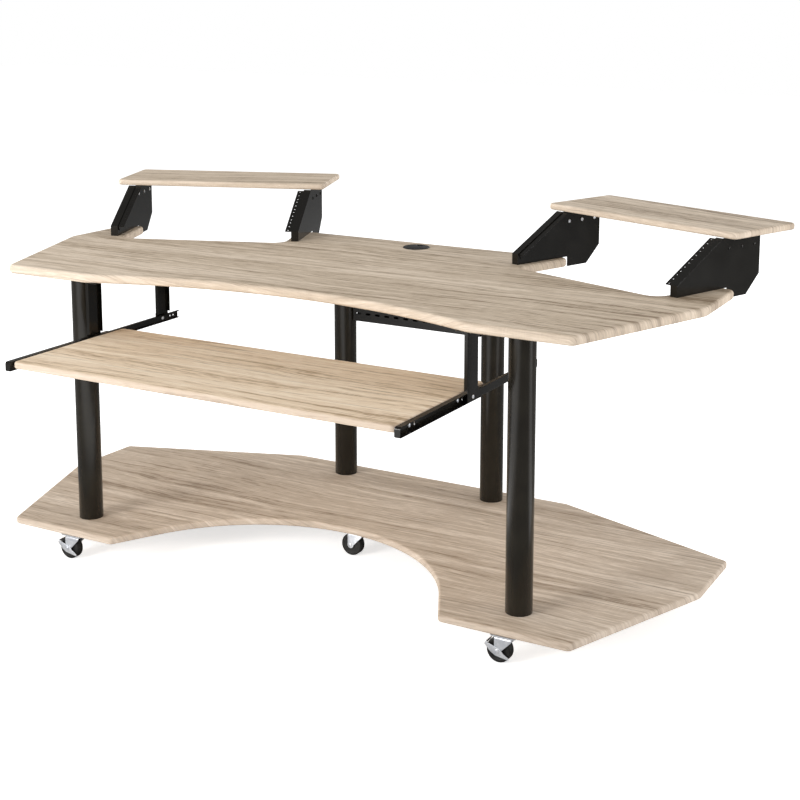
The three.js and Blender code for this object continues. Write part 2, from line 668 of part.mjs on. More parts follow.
// A rack: two side plates folded the same way, a rail by each, and a shelf on top
function buildRack(side) {
  const { name, sign } = side;
  const rack = new THREE.Group();
  rack.position.set(sign * rackX, rackY, 0);
  rack.rotation.z = -sign * rackToeIn;
  desk.add(rack);
  buildSidePlate(`${name}_rack_plate_left`, rack, -flangeInnerW - plateFlange);
  buildSidePlate(`${name}_rack_plate_right`, rack, flangeInnerW);
  const leftWall = -flangeInnerW + touchGap;
  const leftEdge = leftWall + railReach;
  buildRail(`${name}_rack_rail_left`, rack, leftWall, leftEdge, leftEdge, -1);
  const rightWall = flangeInnerW + plateFlange - plateSheet - touchGap;
  const bareEdge = flangeInnerW - touchGap;
  buildRail(`${name}_rack_rail_right`, rack, bareEdge - railReach, bareEdge, rightWall, 1);
  const frontT = slopeRun + shelfSetback;
  const outline = rounded([
    [-shelfWidth / 2, frontT, shelfCornerRadius], [shelfWidth / 2, frontT, shelfCornerRadius],
    [shelfWidth / 2, frontT + shelfDepth, shelfCornerRadius],
    [-shelfWidth / 2, frontT + shelfDepth, shelfCornerRadius],
  ]);
  const underside = desktopHeight + plateHeight;
  const shelf = board(outline, underside, underside + boardThickness, boardEdgeRadius);
  place(`${name}_rack_shelf`, shelf, woodTop, rack);
}

// Castor sizes that follow, about a swivel axis at its own origin
const wheelTopZ = 2 * wheelRadius;
const forkInnerHalf = wheelWidth / 2 + wheelTopGap;
const forkOuterHalf = forkInnerHalf + forkSheet;
const crownTopZ = wheelTopZ + wheelTopGap + forkSheet;
const axleX = -wheelTrail;

// Top plate with its raceway and kingpin, fixed under the base board
function buildCasterPlate(name, parent) {
  const bottom = baseUnderside - plateThickness;
  const sheet = prism(rounded([
    [-plateLength / 2, -plateBreadth / 2, plateCornerRadius],
    [plateLength / 2, -plateBreadth / 2, plateCornerRadius],
    [plateLength / 2, plateBreadth / 2, plateCornerRadius],
    [-plateLength / 2, plateBreadth / 2, plateCornerRadius],
  ]), 'z', bottom, baseUnderside);
  const holes = [-1, 1].flatMap((alongX) => [-1, 1].map((alongY) => bar(
    plateHoleRadius, 'z', bottom - cutOverrun, baseUnderside + cutOverrun, smallSides,
    [alongX * (plateLength / 2 - plateHoleInset), alongY * (plateBreadth / 2 - plateHoleInset)])));
  const racewayZ = crownTopZ + touchGap;
  const headTop = wheelTopZ + wheelTopGap - touchGap;
  const pin = turned([
    [0, headTop - kingpinHeadHeight], [kingpinHeadRadius, headTop - kingpinHeadHeight],
    [kingpinHeadRadius, headTop], [kingpinRadius, headTop], [kingpinRadius, racewayZ],
    [racewayRadius, racewayZ], [racewayRadius, bottom + plateThickness / 2],
    [0, bottom + plateThickness / 2],
  ], 'z', swivelSides);
  place(`${name}_plate`, join([cut(sheet, holes), pin]), zincSteel, parent);
}

// Fork: a sheet bent to a U, its legs tapering from the crown to the axle
function buildFork(name, parent) {
  const low = wheelRadius - forkEyeRadius;
  const section = prism(rounded([
    [-forkOuterHalf, low, 0], [-forkInnerHalf, low, 0],
    [-forkInnerHalf, crownTopZ - forkSheet, forkBendRadius - forkSheet],
    [forkInnerHalf, crownTopZ - forkSheet, forkBendRadius - forkSheet],
    [forkInnerHalf, low, 0], [forkOuterHalf, low, 0],
    [forkOuterHalf, crownTopZ, forkBendRadius], [-forkOuterHalf, crownTopZ, forkBendRadius],
  ]), 'x', axleX - forkEyeRadius - cutOverrun, forkReach + cutOverrun);
  const flank = prism(rounded([
    [axleX - forkEyeRadius, crownTopZ + cutOverrun, 0],
    [axleX - forkEyeRadius, low, forkEyeRadius - touchGap],
    [axleX + forkEyeRadius, low, forkEyeRadius - touchGap],
    [forkReach, crownTopZ - forkShoulder, forkShoulder],
    [forkReach, crownTopZ + cutOverrun, 0],
  ]), 'y', -forkOuterHalf - cutOverrun, forkOuterHalf + cutOverrun);
  const swivelHole = bar(clearing(kingpinRadius, swivelSides), 'z', crownTopZ - forkSheet - cutOverrun,
    crownTopZ + cutOverrun, swivelSides);
  const axleHole = bar(clearing(axleRadius, smallSides), 'y', -forkOuterHalf - cutOverrun,
    forkOuterHalf + cutOverrun, smallSides, [axleX, wheelRadius]);
  place(`${name}_fork`, cut(section.intersect(flank), [swivelHole, axleHole]), zincSteel, parent);
}

// Axle: a rivet through the fork, longer at its near end where it also carries a brake lever
function buildAxle(name, parent, brake) {
  const near = -forkOuterHalf - touchGap - (brake ? brakeSheet + touchGap : 0);
  const far = forkOuterHalf + touchGap;
  const pin = turned([
    [0, near - axleHeadHeight], [axleHeadRadius, near - axleHeadHeight], [axleHeadRadius, near],
    [axleRadius, near], [axleRadius, far], [axleHeadRadius, far], [axleHeadRadius, far + axleHeadHeight],
    [0, far + axleHeadHeight],
  ], 'y', smallSides);
  place(`${name}_axle`, pin, zincSteel, parent).position.set(axleX, 0, wheelRadius);
}

// Wheel: a tyre with round shoulders on a dished centre and a hub
function buildWheel(name, parent) {
  const half = wheelWidth / 2;
  const hubHalf = forkInnerHalf - touchGap;
  const shoulder = half / 4;
  const rim = wheelRadius - 2 * shoulder;
  const dish = half - shoulder / 2;
  const lower = [[clearing(axleRadius, wheelSides), -hubHalf], [wheelHubRadius, -hubHalf],
    [wheelHubRadius, -dish], [rim, -dish], [rim + shoulder, -half], [wheelRadius, -half + shoulder]];
  const upper = lower.map(([radius, y]) => [radius, -y]).reverse();
  place(`${name}_wheel`, turned([...lower, ...upper], 'y', wheelSides), blackRubber, parent)
    .position.set(axleX, 0, wheelRadius);
}

// Brake lever: a crescent on the axle outside the fork, with a pedal bent across behind the tread
function buildBrake(name, parent) {
  const outer = -forkOuterHalf - touchGap;
  const reach = wheelRadius + pedalGap;
  const arm = prism(rounded(brakeArmShares.map(([x, z]) => [x * reach, z * reach, brakeSheet / 2])),
    'y', outer - brakeSheet, outer);
  const pedal = prism(rectangle(reach, reach + brakeSheet, -pedalLength / 2, pedalLength / 2)
    .map((corner) => corner.rotateAround(new THREE.Vector2(), pedalAngle)),
  'y', outer - brakeSheet, forkInnerHalf);
  const eye = bar(clearing(axleRadius, smallSides), 'y', outer - brakeSheet - cutOverrun,
    outer + cutOverrun, smallSides);
  place(`${name}_brake`, cut(join([arm, pedal]), [eye]), zincSteel, parent)
    .position.set(axleX, 0, wheelRadius);
}

function buildCaster({ name, x, y, brake }) {
  const caster = new THREE.Group();
  caster.position.set(x + wheelTrail, y, 0);
  desk.add(caster);
  buildCasterPlate(name, caster);
  buildFork(name, caster);
  buildAxle(name, caster, brake);
  buildWheel(name, caster);
  if (brake) buildBrake(name, caster);
}

buildBaseBoard();
buildDesktopBoard();
buildLegs();
buildCrossbar();
buildTray();
for (const side of sides) {
  buildRunners(side);
  for (const spot of bracketPlaces) buildBracket(side, spot);
  buildRack(side);
}
buildGrommet();
casterPlaces.forEach(buildCaster);

// The origin lies on the floor, under the middle of the desk with its tray pulled out
const shelfCornerY = rackCorner(shelfCornerRadius - shelfWidth / 2,
  slopeRun + shelfSetback + shelfDepth - shelfCornerRadius)[1];
desk.position.y = -(runnerFrontY + shelfCornerY + shelfCornerRadius) / 2;

export default desk;
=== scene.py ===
"""A studio desk on castors, dressed over its CAD frame: foil-wrapped boards, tube legs, a keyboard tray on
runners, two sloping racks with shelves, a cable grommet and five castors.

Metres, +Z up, in the frame of the CAD nodes.
"""

from __future__ import annotations

import logging
import math
from dataclasses import dataclass, field
from enum import Enum
from typing import Any, Sequence

import bmesh
import bpy
from mathutils import Matrix, Vector

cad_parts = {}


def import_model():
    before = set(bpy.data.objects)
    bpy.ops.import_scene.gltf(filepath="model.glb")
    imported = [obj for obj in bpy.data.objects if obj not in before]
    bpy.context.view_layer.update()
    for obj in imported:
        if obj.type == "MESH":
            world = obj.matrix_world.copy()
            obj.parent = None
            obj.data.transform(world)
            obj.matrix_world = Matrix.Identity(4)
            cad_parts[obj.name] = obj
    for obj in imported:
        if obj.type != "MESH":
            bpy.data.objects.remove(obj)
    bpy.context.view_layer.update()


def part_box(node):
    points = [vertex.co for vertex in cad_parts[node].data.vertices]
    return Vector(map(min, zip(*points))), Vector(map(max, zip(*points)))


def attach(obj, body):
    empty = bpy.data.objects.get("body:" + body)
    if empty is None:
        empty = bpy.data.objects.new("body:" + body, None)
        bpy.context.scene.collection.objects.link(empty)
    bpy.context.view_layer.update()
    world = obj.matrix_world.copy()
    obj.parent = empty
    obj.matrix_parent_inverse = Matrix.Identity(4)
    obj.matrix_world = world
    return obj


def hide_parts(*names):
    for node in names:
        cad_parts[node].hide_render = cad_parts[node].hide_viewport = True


LOG = logging.getLogger("studio_desk")

Point = tuple[float, float]
Corner = tuple[float, float, float]
Place = tuple[float, float, float]
Colour = tuple[float, float, float, float]

# the middle of noise, which runs from 0 to 1
NOISE_MEAN = 0.5
# degrees above which two faces meet in a sharp edge
SHARP_ANGLE = 35.0
# degrees below which two faces of a CAD node are one
FLAT_ANGLE = 0.6
# degrees above which an edge of a moulded or pressed piece is rounded
FOLD_ANGLE = 40.0
# how near two points of a CAD node, or of a turned profile, are when they are one
CAD_MERGE = 2e-6
POLE_MERGE = 1e-7
# a cutter's length in thicknesses of the sheet that it goes through
CUTTER_SHEETS = 6
# steps of a round hole, and of the half circle at a slot's end
HOLE_SIDES = 28
SLOT_STEPS = 10
# what lays a drawing's third axis along X, or, with the drawing mirrored, along Y
ALONG_X = Matrix(((0, 0, 1, 0), (1, 0, 0, 0), (0, 1, 0, 0), (0, 0, 0, 1)))
ALONG_Y = Matrix(((1, 0, 0, 0), (0, 0, 1, 0), (0, 1, 0, 0), (0, 0, 0, 1)))


def srgb(red: int, green: int, blue: int) -> Colour:
    """A colour in display steps, as the linear colour that nodes take.

    Args:
        red: Red, 0 to 255.
        green: Green, 0 to 255.
        blue: Blue, 0 to 255.

    Returns:
        Linear red, green, blue and an alpha of one.
    """
    linear = [
        c / 12.92 if c <= 0.04045 else ((c + 0.055) / 1.055) ** 2.4
        for c in (red / 255, green / 255, blue / 255)
    ]
    return (linear[0], linear[1], linear[2], 1.0)


class Slot(Enum):
    """The record's material slots."""

    OAK = "oak_foil"
    TRAY = "tray_foil"
    BLACK = "black_coat"
    ZINC = "zinc"
    PLASTIC = "black_plastic"
    RUBBER = "wheel_rubber"


class Side(Enum):
    """The two ends of the desk, with their sign along X."""

    LEFT = -1
    RIGHT = 1

    @property
    def word(self) -> str:
        """The side's name as the CAD nodes have it."""
        return self.name.lower()


class TreeType(Enum):
    """The kinds of node tree that are built here."""

    SHADER = "ShaderNodeTree"
    GEOMETRY = "GeometryNodeTree"


class Kind(Enum):
    """The kinds of value that a group takes or gives."""

    FLOAT = "NodeSocketFloat"
    INT = "NodeSocketInt"
    VECTOR = "NodeSocketVector"
    COLOUR = "NodeSocketColor"
    GEOMETRY = "NodeSocketGeometry"
    OBJECT = "NodeSocketObject"
    MATERIAL = "NodeSocketMaterial"


# Nodes


@dataclass(frozen=True)
class Noise:
    """Noise: features to the metre each way, octaves, how strong the finer are, and its share in a mix."""

    along: float
    across: float
    detail: float
    rough: float = 0.5
    share: float = 1.0


class Graph:
    """Builds a node tree in few words."""

    def __init__(self, tree: bpy.types.NodeTree) -> None:
        """Keeps the tree that is built."""
        self.tree = tree

    def add(self, kind: str, inputs: dict[Any, Any] | None = None, **settings: Any) -> bpy.types.Node:
        """Adds a node.

        Args:
            kind: The node's type name.
            inputs: Values or sockets for its inputs, by name or number.
            **settings: Properties of the node.

        Returns:
            The node.
        """
        node = self.tree.nodes.new(kind)
        for name, value in settings.items():
            setattr(node, name, value)
        for key, value in (inputs or {}).items():
            self.put(node.inputs[key], value)
        return node

    def put(self, socket: bpy.types.NodeSocket, value: Any) -> None:
        """Links or sets an input.

        Args:
            socket: The input.
            value: A socket to link from, or a plain value.
        """
        if isinstance(value, bpy.types.NodeSocket):
            self.tree.links.new(value, socket)
        else:
            socket.default_value = value

    def math(self, operation: str, *values: Any, clamp: bool = False) -> bpy.types.NodeSocket:
        """Adds a Math node.

        Args:
            operation: The node's operation.
            *values: Its inputs in order.
            clamp: Whether the result is kept between 0 and 1.

        Returns:
            The result.
        """
        node = self.add("ShaderNodeMath", dict(enumerate(values)), operation=operation, use_clamp=clamp)
        return node.outputs[0]

    def add_vectors(self, first: Any, second: Any) -> bpy.types.NodeSocket:
        """The sum of two vectors."""
        return self.add("ShaderNodeVectorMath", {0: first, 1: second}, operation="ADD").outputs[0]

    def scale_vector(self, vector: Any, factor: Any) -> bpy.types.NodeSocket:
        """A vector times a number."""
        return self.add("ShaderNodeVectorMath", {0: vector, "Scale": factor}, operation="SCALE").outputs[0]

    def blend(self, factor: Any, first: Any, second: Any) -> bpy.types.NodeSocket:
        """Mixes two colours.

        Args:
            factor: How much of the second shows.
            first: The first colour.
            second: The second colour.

        Returns:
            The mixed colour.
        """
        # a Mix node has its factor at 0 and its two colours at 6 and 7, and gives their mix at 2
        return self.add("ShaderNodeMix", {0: factor, 6: first, 7: second}, data_type="RGBA").outputs[2]

    def spread(
        self, value: Any, span: Sequence[float], to: Sequence[float] = (0.0, 1.0)
    ) -> bpy.types.NodeSocket:
        """Maps a range of a value to another range, with soft ends.

        Args:
            value: The value.
            span: Where the range starts and ends.
            to: The results at its start and its end.

        Returns:
            The mapped value.
        """
        limits = {"From Min": span[0], "From Max": span[1], "To Min": to[0], "To Max": to[1]}
        node = self.add("ShaderNodeMapRange", {"Value": value, **limits}, interpolation_type="SMOOTHSTEP")
        return node.outputs["Result"]

    def noise(self, where: Any, noise: Noise) -> bpy.types.NodeSocket:
        """Adds stretched noise.

        Args:
            where: The place that is read.
            noise: Its features.

        Returns:
            The noise, about 0 to 1.
        """
        features = (noise.along, noise.across, 1.0)
        place = self.add("ShaderNodeVectorMath", {0: where, 1: features}, operation="MULTIPLY").outputs[0]
        inputs = {"Vector": place, "Scale": 1.0, "Detail": noise.detail, "Roughness": noise.rough}
        return self.add("ShaderNodeTexNoise", inputs).outputs["Fac"]

    def drift(self, where: Any, noise: Noise) -> bpy.types.NodeSocket:
        """Noise about zero, as wide as its share."""
        about_zero = self.math("SUBTRACT", self.noise(where, noise), NOISE_MEAN)
        return self.math("MULTIPLY", about_zero, noise.share)

    def bump(self, height: Any, strength: float, depth: float) -> bpy.types.NodeSocket:
        """The normal of a surface with a height."""
        inputs = {"Height": height, "Strength": strength, "Distance": depth}
        return self.add("ShaderNodeBump", inputs).outputs[0]


def start_group(
    name: str, kind: TreeType, takes: dict[str, Kind], gives: dict[str, Kind]
) -> tuple[Graph, bpy.types.NodeOutputs, bpy.types.NodeInputs]:
    """Starts a node group.

    Args:
        name: The group's name.
        kind: Its kind of tree.
        takes: Its inputs.
        gives: Its outputs.

    Returns:
        The graph of the group, the sockets that hold what it takes, and those for what it gives.
    """
    tree = bpy.data.node_groups.new(name, kind.value)
    for in_out, sockets in (("INPUT", takes), ("OUTPUT", gives)):
        for label, value in sockets.items():
            tree.interface.new_socket(label, in_out=in_out, socket_type=value.value)
    graph = Graph(tree)
    return graph, graph.add("NodeGroupInput").outputs, graph.add("NodeGroupOutput").inputs


@dataclass(frozen=True)
class OakGrain:
    """Rustic oak foil, drawn out along its first axis: bands, streaks, pores, veins and faint saw marks."""

    sway: Noise = Noise(1.6, 4.0, 2, share=0.075)
    quiver: Noise = Noise(13, 46, 3, share=0.006)
    rings: Noise = Noise(0.9, 6.0, 2.5, 0.42, share=0.018)
    ring_turns: float = 104.0
    ring_span: Point = (-0.6, 1.0)
    broad: Noise = Noise(0.6, 8.5, 3, share=0.2)
    broad_offset: Place = (3.1, 7.7, 0.0)
    bands: Noise = Noise(0.8, 30, 3, 0.55, share=0.22)
    streaks: Noise = Noise(1.8, 75, 3, 0.6, share=0.22)
    fine: Noise = Noise(6.0, 180, 3, 0.6, share=0.18)
    flecks: Noise = Noise(26, 240, 2, 0.6, share=0.18)
    cracks: Noise = Noise(3.0, 140, 2, share=0.5)
    crack_offset: Place = (9.4, 2.2, 0.0)
    crack_span: Point = (0.57, 0.68)
    crack_region: Point = (0.42, 0.6)
    pores: Noise = Noise(42, 1050, 2, share=0.3)
    pore_span: Point = (0.55, 0.7)
    saw: Noise = Noise(330, 12, 2, share=0.3)
    saw_span: Point = (0.45, 0.75)
    saw_patches: Noise = Noise(2.2, 3.0, 2)
    patch_span: Point = (0.45, 0.65)
    streak_height: float = 0.4

    def group(self) -> bpy.types.NodeTree:
        """Builds the shader group.

        Returns:
            The group.
        """
        colours = {label: Kind.COLOUR for label in ("Pale", "Middle", "Dark", "Vein")}
        graph, box, out = start_group(
            "oak_grain", TreeType.SHADER,
            {"Place": Kind.VECTOR, **colours, "Contrast": Kind.FLOAT},
            {"Color": Kind.COLOUR, "Height": Kind.FLOAT},
        )
        where = box["Place"]
        across = graph.math("ADD", graph.drift(where, self.sway), graph.drift(where, self.quiver))
        shift = graph.add("ShaderNodeCombineXYZ", {"Y": across}).outputs[0]
        bent = graph.add_vectors(where, shift)
        broad = graph.noise(graph.add_vectors(bent, self.broad_offset), self.broad)
        streaks = graph.noise(bent, self.streaks)
        pores = graph.spread(graph.noise(bent, self.pores), self.pore_span)

        tone = self._tone(graph, bent, broad, streaks)
        level = graph.math("ADD", graph.math("MULTIPLY", tone, box["Contrast"]), NOISE_MEAN, clamp=True)
        base = graph.blend(graph.spread(level, (NOISE_MEAN, 1.0)), box["Middle"], box["Pale"])
        base = graph.blend(graph.spread(level, (0.0, NOISE_MEAN), (1.0, 0.0)), base, box["Dark"])

        cracks = graph.noise(graph.add_vectors(bent, self.crack_offset), self.cracks)
        region = graph.spread(broad, self.crack_region)
        vein = graph.math("MULTIPLY", graph.spread(cracks, self.crack_span), region)
        patches = graph.spread(graph.noise(where, self.saw_patches), self.patch_span)
        marks = graph.math("MULTIPLY", graph.spread(graph.noise(where, self.saw), self.saw_span), patches)
        for mask, share, label in (
            (vein, self.cracks.share, "Vein"),
            (pores, self.pores.share, "Dark"),
            (marks, self.saw.share, "Pale"),
        ):
            base = graph.blend(graph.math("MULTIPLY", mask, share), base, box[label])
        graph.put(out["Color"], base)
        height = graph.math("SUBTRACT", graph.math("MULTIPLY", streaks, self.streak_height), pores)
        graph.put(out["Height"], height)
        return graph.tree

    def _tone(self, graph: Graph, bent: Any, broad: Any, streaks: Any) -> bpy.types.NodeSocket:
        """Adds up the noises that make the foil paler or darker.

        Args:
            graph: The group's graph.
            bent: The place on the foil, swayed.
            broad: The broad noise.
            streaks: The streaks.

        Returns:
            The tone, about zero.
        """
        waves = graph.math("SINE", graph.math("MULTIPLY", graph.noise(bent, self.rings), self.ring_turns))
        rings = graph.math("MULTIPLY", graph.spread(waves, self.ring_span), self.rings.share)
        tone = graph.math("MULTIPLY", broad, self.broad.share)
        for value, share in (
            (graph.noise(bent, self.bands), self.bands.share),
            (streaks, self.streaks.share),
            (graph.noise(bent, self.fine), self.fine.share),
            (graph.noise(bent, self.flecks), self.flecks.share),
        ):
            tone = graph.math("ADD", tone, graph.math("MULTIPLY", value, share))
        return graph.math("ADD", graph.math("SUBTRACT", tone, NOISE_MEAN), rings)


@dataclass(frozen=True)
class Handling:
    """Slight unevenness of a surface that has been handled: cloudy patches and fine specks."""

    cloud_detail: float = 4.0
    cloud_share: float = 0.75
    speck_detail: float = 2.0
    span: Point = (0.3, 0.7)

    def group(self) -> bpy.types.NodeTree:
        """Builds the shader group.

        Returns:
            The group.
        """
        sizes = {label: Kind.FLOAT for label in ("Patches", "Specks", "Low", "High")}
        graph, box, out = start_group(
            "handling", TreeType.SHADER,
            {"Place": Kind.VECTOR, **sizes},
            {"Roughness": Kind.FLOAT, "Height": Kind.FLOAT, "Cloud": Kind.FLOAT},
        )
        cloud, specks = (
            graph.add(
                "ShaderNodeTexNoise", {"Vector": box["Place"], "Scale": box[label], "Detail": detail}
            ).outputs["Fac"]
            for label, detail in (("Patches", self.cloud_detail), ("Specks", self.speck_detail))
        )
        clouds = graph.math("MULTIPLY", cloud, self.cloud_share)
        mixed = graph.math("ADD", clouds, graph.math("MULTIPLY", specks, 1 - self.cloud_share))
        low, high = self.span
        limits = {"From Min": low, "From Max": high, "To Min": box["Low"], "To Max": box["High"]}
        gloss = graph.add("ShaderNodeMapRange", {"Value": mixed, **limits})
        graph.put(out["Roughness"], gloss.outputs["Result"])
        graph.put(out["Height"], specks)
        graph.put(out["Cloud"], cloud)
        return graph.tree


def start_material(name: str) -> tuple[bpy.types.Material, Graph, bpy.types.Node]:
    """Starts a material.

    Args:
        name: The material's name.

    Returns:
        The material, its graph and its Principled BSDF.
    """
    material = bpy.data.materials.new(name)
    material.use_nodes = True
    return material, Graph(material.node_tree), material.node_tree.nodes["Principled BSDF"]


@dataclass(frozen=True)
class Wear:
    """How a finish has been handled: its patches and specks to the metre, and its smoothest and roughest."""

    low: float
    high: float
    patches: float = 14.0
    specks: float = 900.0

    def apply(
        self, graph: Graph, shader: bpy.types.Node, where: Any, group: bpy.types.NodeTree
    ) -> bpy.types.NodeOutputs:
        """Drives a shader's roughness.

        Args:
            graph: The material's graph.
            shader: Its Principled BSDF.
            where: The place on the surface.
            group: The handling group.

        Returns:
            The outputs of the group's node.
        """
        inputs = {
            "Place": where, "Patches": self.patches, "Specks": self.specks, "Low": self.low,
            "High": self.high,
        }
        worn = graph.add("ShaderNodeGroup", inputs, node_tree=group).outputs
        graph.put(shader.inputs["Roughness"], worn["Roughness"])
        return worn


@dataclass(frozen=True)
class FoilFinish:
    """Wood-grain foil wrapped over a board; the piece's foil map runs over its edges, where a rim colour is
    mixed in as painted light and shade.
    """

    name: str
    pale: Colour = srgb(231, 214, 193)
    middle: Colour = srgb(204, 186, 163)
    dark: Colour = srgb(145, 125, 102)
    vein: Colour = srgb(124, 104, 84)
    # painted edge light: the rim colour is mixed over the rounded edges by the share below; it is paler than
    # the flat on the desktop, the base and the shelves, and darker on the tray (painted shade)
    rim: Colour = srgb(233, 217, 202)
    shift: Place = (0.0, 0.0, 0.0)
    contrast: float = 7.0
    rim_contrast: float = 0.9
    wrap: float = 0.3
    wear: Wear = Wear(0.62, 0.74)
    bump: float = 0.2
    bump_depth: float = 0.0004
    specular: float = 0.25

    def build(self, grain: bpy.types.NodeTree, handling: bpy.types.NodeTree) -> bpy.types.Material:
        """Builds the material.

        Args:
            grain: The oak grain group.
            handling: The handling group.

        Returns:
            The material.
        """
        material, graph, shader = start_material(self.name)
        uv = graph.add("ShaderNodeUVMap", uv_map="foil").outputs[0]
        where = graph.add("ShaderNodeMapping", {"Vector": uv, "Location": self.shift}).outputs[0]
        rim = graph.add("ShaderNodeAttribute", attribute_name="rim").outputs["Fac"]
        contrast = graph.spread(rim, (0.0, 1.0), (self.contrast, self.contrast * self.rim_contrast))
        inputs = {
            "Place": where, "Pale": self.pale, "Middle": self.middle, "Dark": self.dark, "Vein": self.vein,
            "Contrast": contrast,
        }
        oak = graph.add("ShaderNodeGroup", inputs, node_tree=grain).outputs
        self.wear.apply(graph, shader, where, handling)
        # painted light and shade on the rounded edges: the rim colour mixed over the grain by the edge's
        # share
        painted_edge_light = graph.blend(graph.math("MULTIPLY", rim, self.wrap), oak["Color"], self.rim)
        graph.put(shader.inputs["Base Color"], painted_edge_light)
        graph.put(shader.inputs["Normal"], graph.bump(oak["Height"], self.bump, self.bump_depth))
        shader.inputs["Specular IOR Level"].default_value = self.specular
        return material


@dataclass(frozen=True)
class SurfaceFinish:
    """A coated, plated or moulded surface of one colour, with clouds and specks in its gloss."""

    name: str
    colour: Colour
    cloud: Colour
    wear: Wear
    bump: float
    metallic: float = 0.0
    bump_depth: float = 0.0003
    specular: float = 0.5
    cloud_span: Point = (0.35, 0.65)

    def build(self, handling: bpy.types.NodeTree) -> bpy.types.Material:
        """Builds the material.

        Args:
            handling: The handling group.

        Returns:
            The material.
        """
        material, graph, shader = start_material(self.name)
        where = graph.add("ShaderNodeTexCoord").outputs["Object"]
        worn = self.wear.apply(graph, shader, where, handling)
        mask = graph.spread(worn["Cloud"], self.cloud_span)
        graph.put(shader.inputs["Base Color"], graph.blend(mask, self.colour, self.cloud))
        graph.put(shader.inputs["Normal"], graph.bump(worn["Height"], self.bump, self.bump_depth))
        shader.inputs["Metallic"].default_value = self.metallic
        shader.inputs["Specular IOR Level"].default_value = self.specular
        return material


class Palette:
    """Every finish of the desk."""

    def __init__(self) -> None:
        """Builds the materials."""
        grain, handling = OakGrain().group(), Handling().group()
        self.top, self.base, left_shelf, right_shelf, self.tray = (
            foil.build(grain, handling) for foil in (
                FoilFinish("desktop_foil"),
                # a darker copy of the oak foil with less contrast: painted shade for the shadow under the
                # desktop
                FoilFinish(
                    "base_foil", srgb(223, 208, 191), srgb(194, 177, 158), srgb(144, 125, 105),
                    rim=srgb(222, 206, 191), shift=(2.3, 5.1, 0.0), contrast=5.6,
                ),
                FoilFinish("left_shelf_foil", shift=(7.7, 1.9, 0.0)),
                FoilFinish("right_shelf_foil", shift=(4.1, 8.3, 0.0)),
                # the tray's flat colours are lifted and its rim colour is dark: painted light on its top and
                # painted shade on its edges, which the low key lamp lights more than the top
                FoilFinish(
                    "tray_foil", srgb(250, 232, 207), srgb(236, 213, 184), srgb(180, 154, 123),
                    rim=srgb(190, 175, 163), shift=(11.3, 3.7, 0.0), wrap=0.62,
                ),
            )
        )
        self.shelves = {Side.LEFT: left_shelf, Side.RIGHT: right_shelf}
        powder = {"wear": Wear(0.2, 0.27, specks=1400.0), "bump": 0.06, "specular": 0.3}
        self.black, self.tube, self.zinc, self.plastic, self.rubber = (
            finish.build(handling) for finish in (
                SurfaceFinish("black_powder_coat", srgb(16, 14, 10), srgb(21, 19, 15), **powder),
                # a lighter copy of the black powder coat: painted sheen, standing in for the highlights
                # along the tube legs
                SurfaceFinish("tube_powder_coat", srgb(31, 28, 23), srgb(36, 33, 27), **powder),
                SurfaceFinish(
                    "bright_zinc", srgb(232, 234, 238), srgb(210, 213, 219), Wear(0.26, 0.4, 90.0, 1800.0),
                    bump=0.05, metallic=0.6,
                ),
                SurfaceFinish(
                    "moulded_plastic", srgb(22, 21, 20), srgb(27, 26, 25), Wear(0.4, 0.5, specks=2200.0),
                    bump=0.2, specular=0.36,
                ),
                SurfaceFinish(
                    "wheel_rubber", srgb(26, 25, 23), srgb(36, 34, 32), Wear(0.42, 0.56, 60.0, 1500.0),
                    bump=0.2, specular=0.4,
                ),
            )
        )


# Meshes


def rounded(places: Sequence[Corner], step: float = math.radians(6)) -> list[Vector]:
    """Joins corners by straight lines and rounds each by its radius.

    Args:
        places: The corners, each with the radius of its rounding.
        step: The widest turn between two points of a rounding.

    Returns:
        The outline's points, anticlockwise if the corners are.
    """
    points: list[Vector] = []
    for index, (x, y, radius) in enumerate(places):
        at = Vector((x, y))
        if radius <= 0:
            points.append(at)
            continue
        before = (Vector(places[index - 1][:2]) - at).normalized()
        after = (Vector(places[(index + 1) % len(places)][:2]) - at).normalized()
        half = math.acos(max(-1.0, min(1.0, before.dot(after)))) / 2
        centre = at + (before + after).normalized() * (radius / math.sin(half))
        reach = radius / math.tan(half)
        start = at + before * reach - centre
        end = at + after * reach - centre
        sweep = math.copysign(math.pi - 2 * half, start.x * end.y - start.y * end.x)
        steps = max(2, math.ceil(abs(sweep) / step))
        for k in range(steps + 1):
            spoke = start.copy()
            spoke.rotate(Matrix.Rotation(sweep * k / steps, 2))
            points.append(centre + spoke)
    return points


def arc(centre: Point, radius: float, start: float, end: float, steps: int) -> list[Point]:
    """Points of an arc.

    Args:
        centre: Its centre.
        radius: Its radius.
        start: Its first angle in degrees.
        end: Its last angle in degrees.
        steps: Its number of steps.

    Returns:
        The points, both ends included.
    """
    angles = [math.radians(start + (end - start) * k / steps) for k in range(steps + 1)]
    return [(centre[0] + radius * math.cos(a), centre[1] + radius * math.sin(a)) for a in angles]


def dome(foot: Point, wide: float, tall: float, steps: int) -> list[Point]:
    """Points of a quarter of an ellipse, from its foot to its crown.

    Args:
        foot: The middle of the ellipse, under the crown.
        wide: Its reach at the foot.
        tall: Its height at the crown.
        steps: Its number of steps.

    Returns:
        The points, both ends included.
    """
    angles = [math.pi / 2 * k / steps for k in range(steps + 1)]
    return [(foot[0] + wide * math.cos(a), foot[1] + tall * math.sin(a)) for a in angles]


def coat(mesh: bpy.types.Mesh, material: bpy.types.Material) -> None:
    """Gives a mesh its one finish."""
    mesh.materials.clear()
    mesh.materials.append(material)


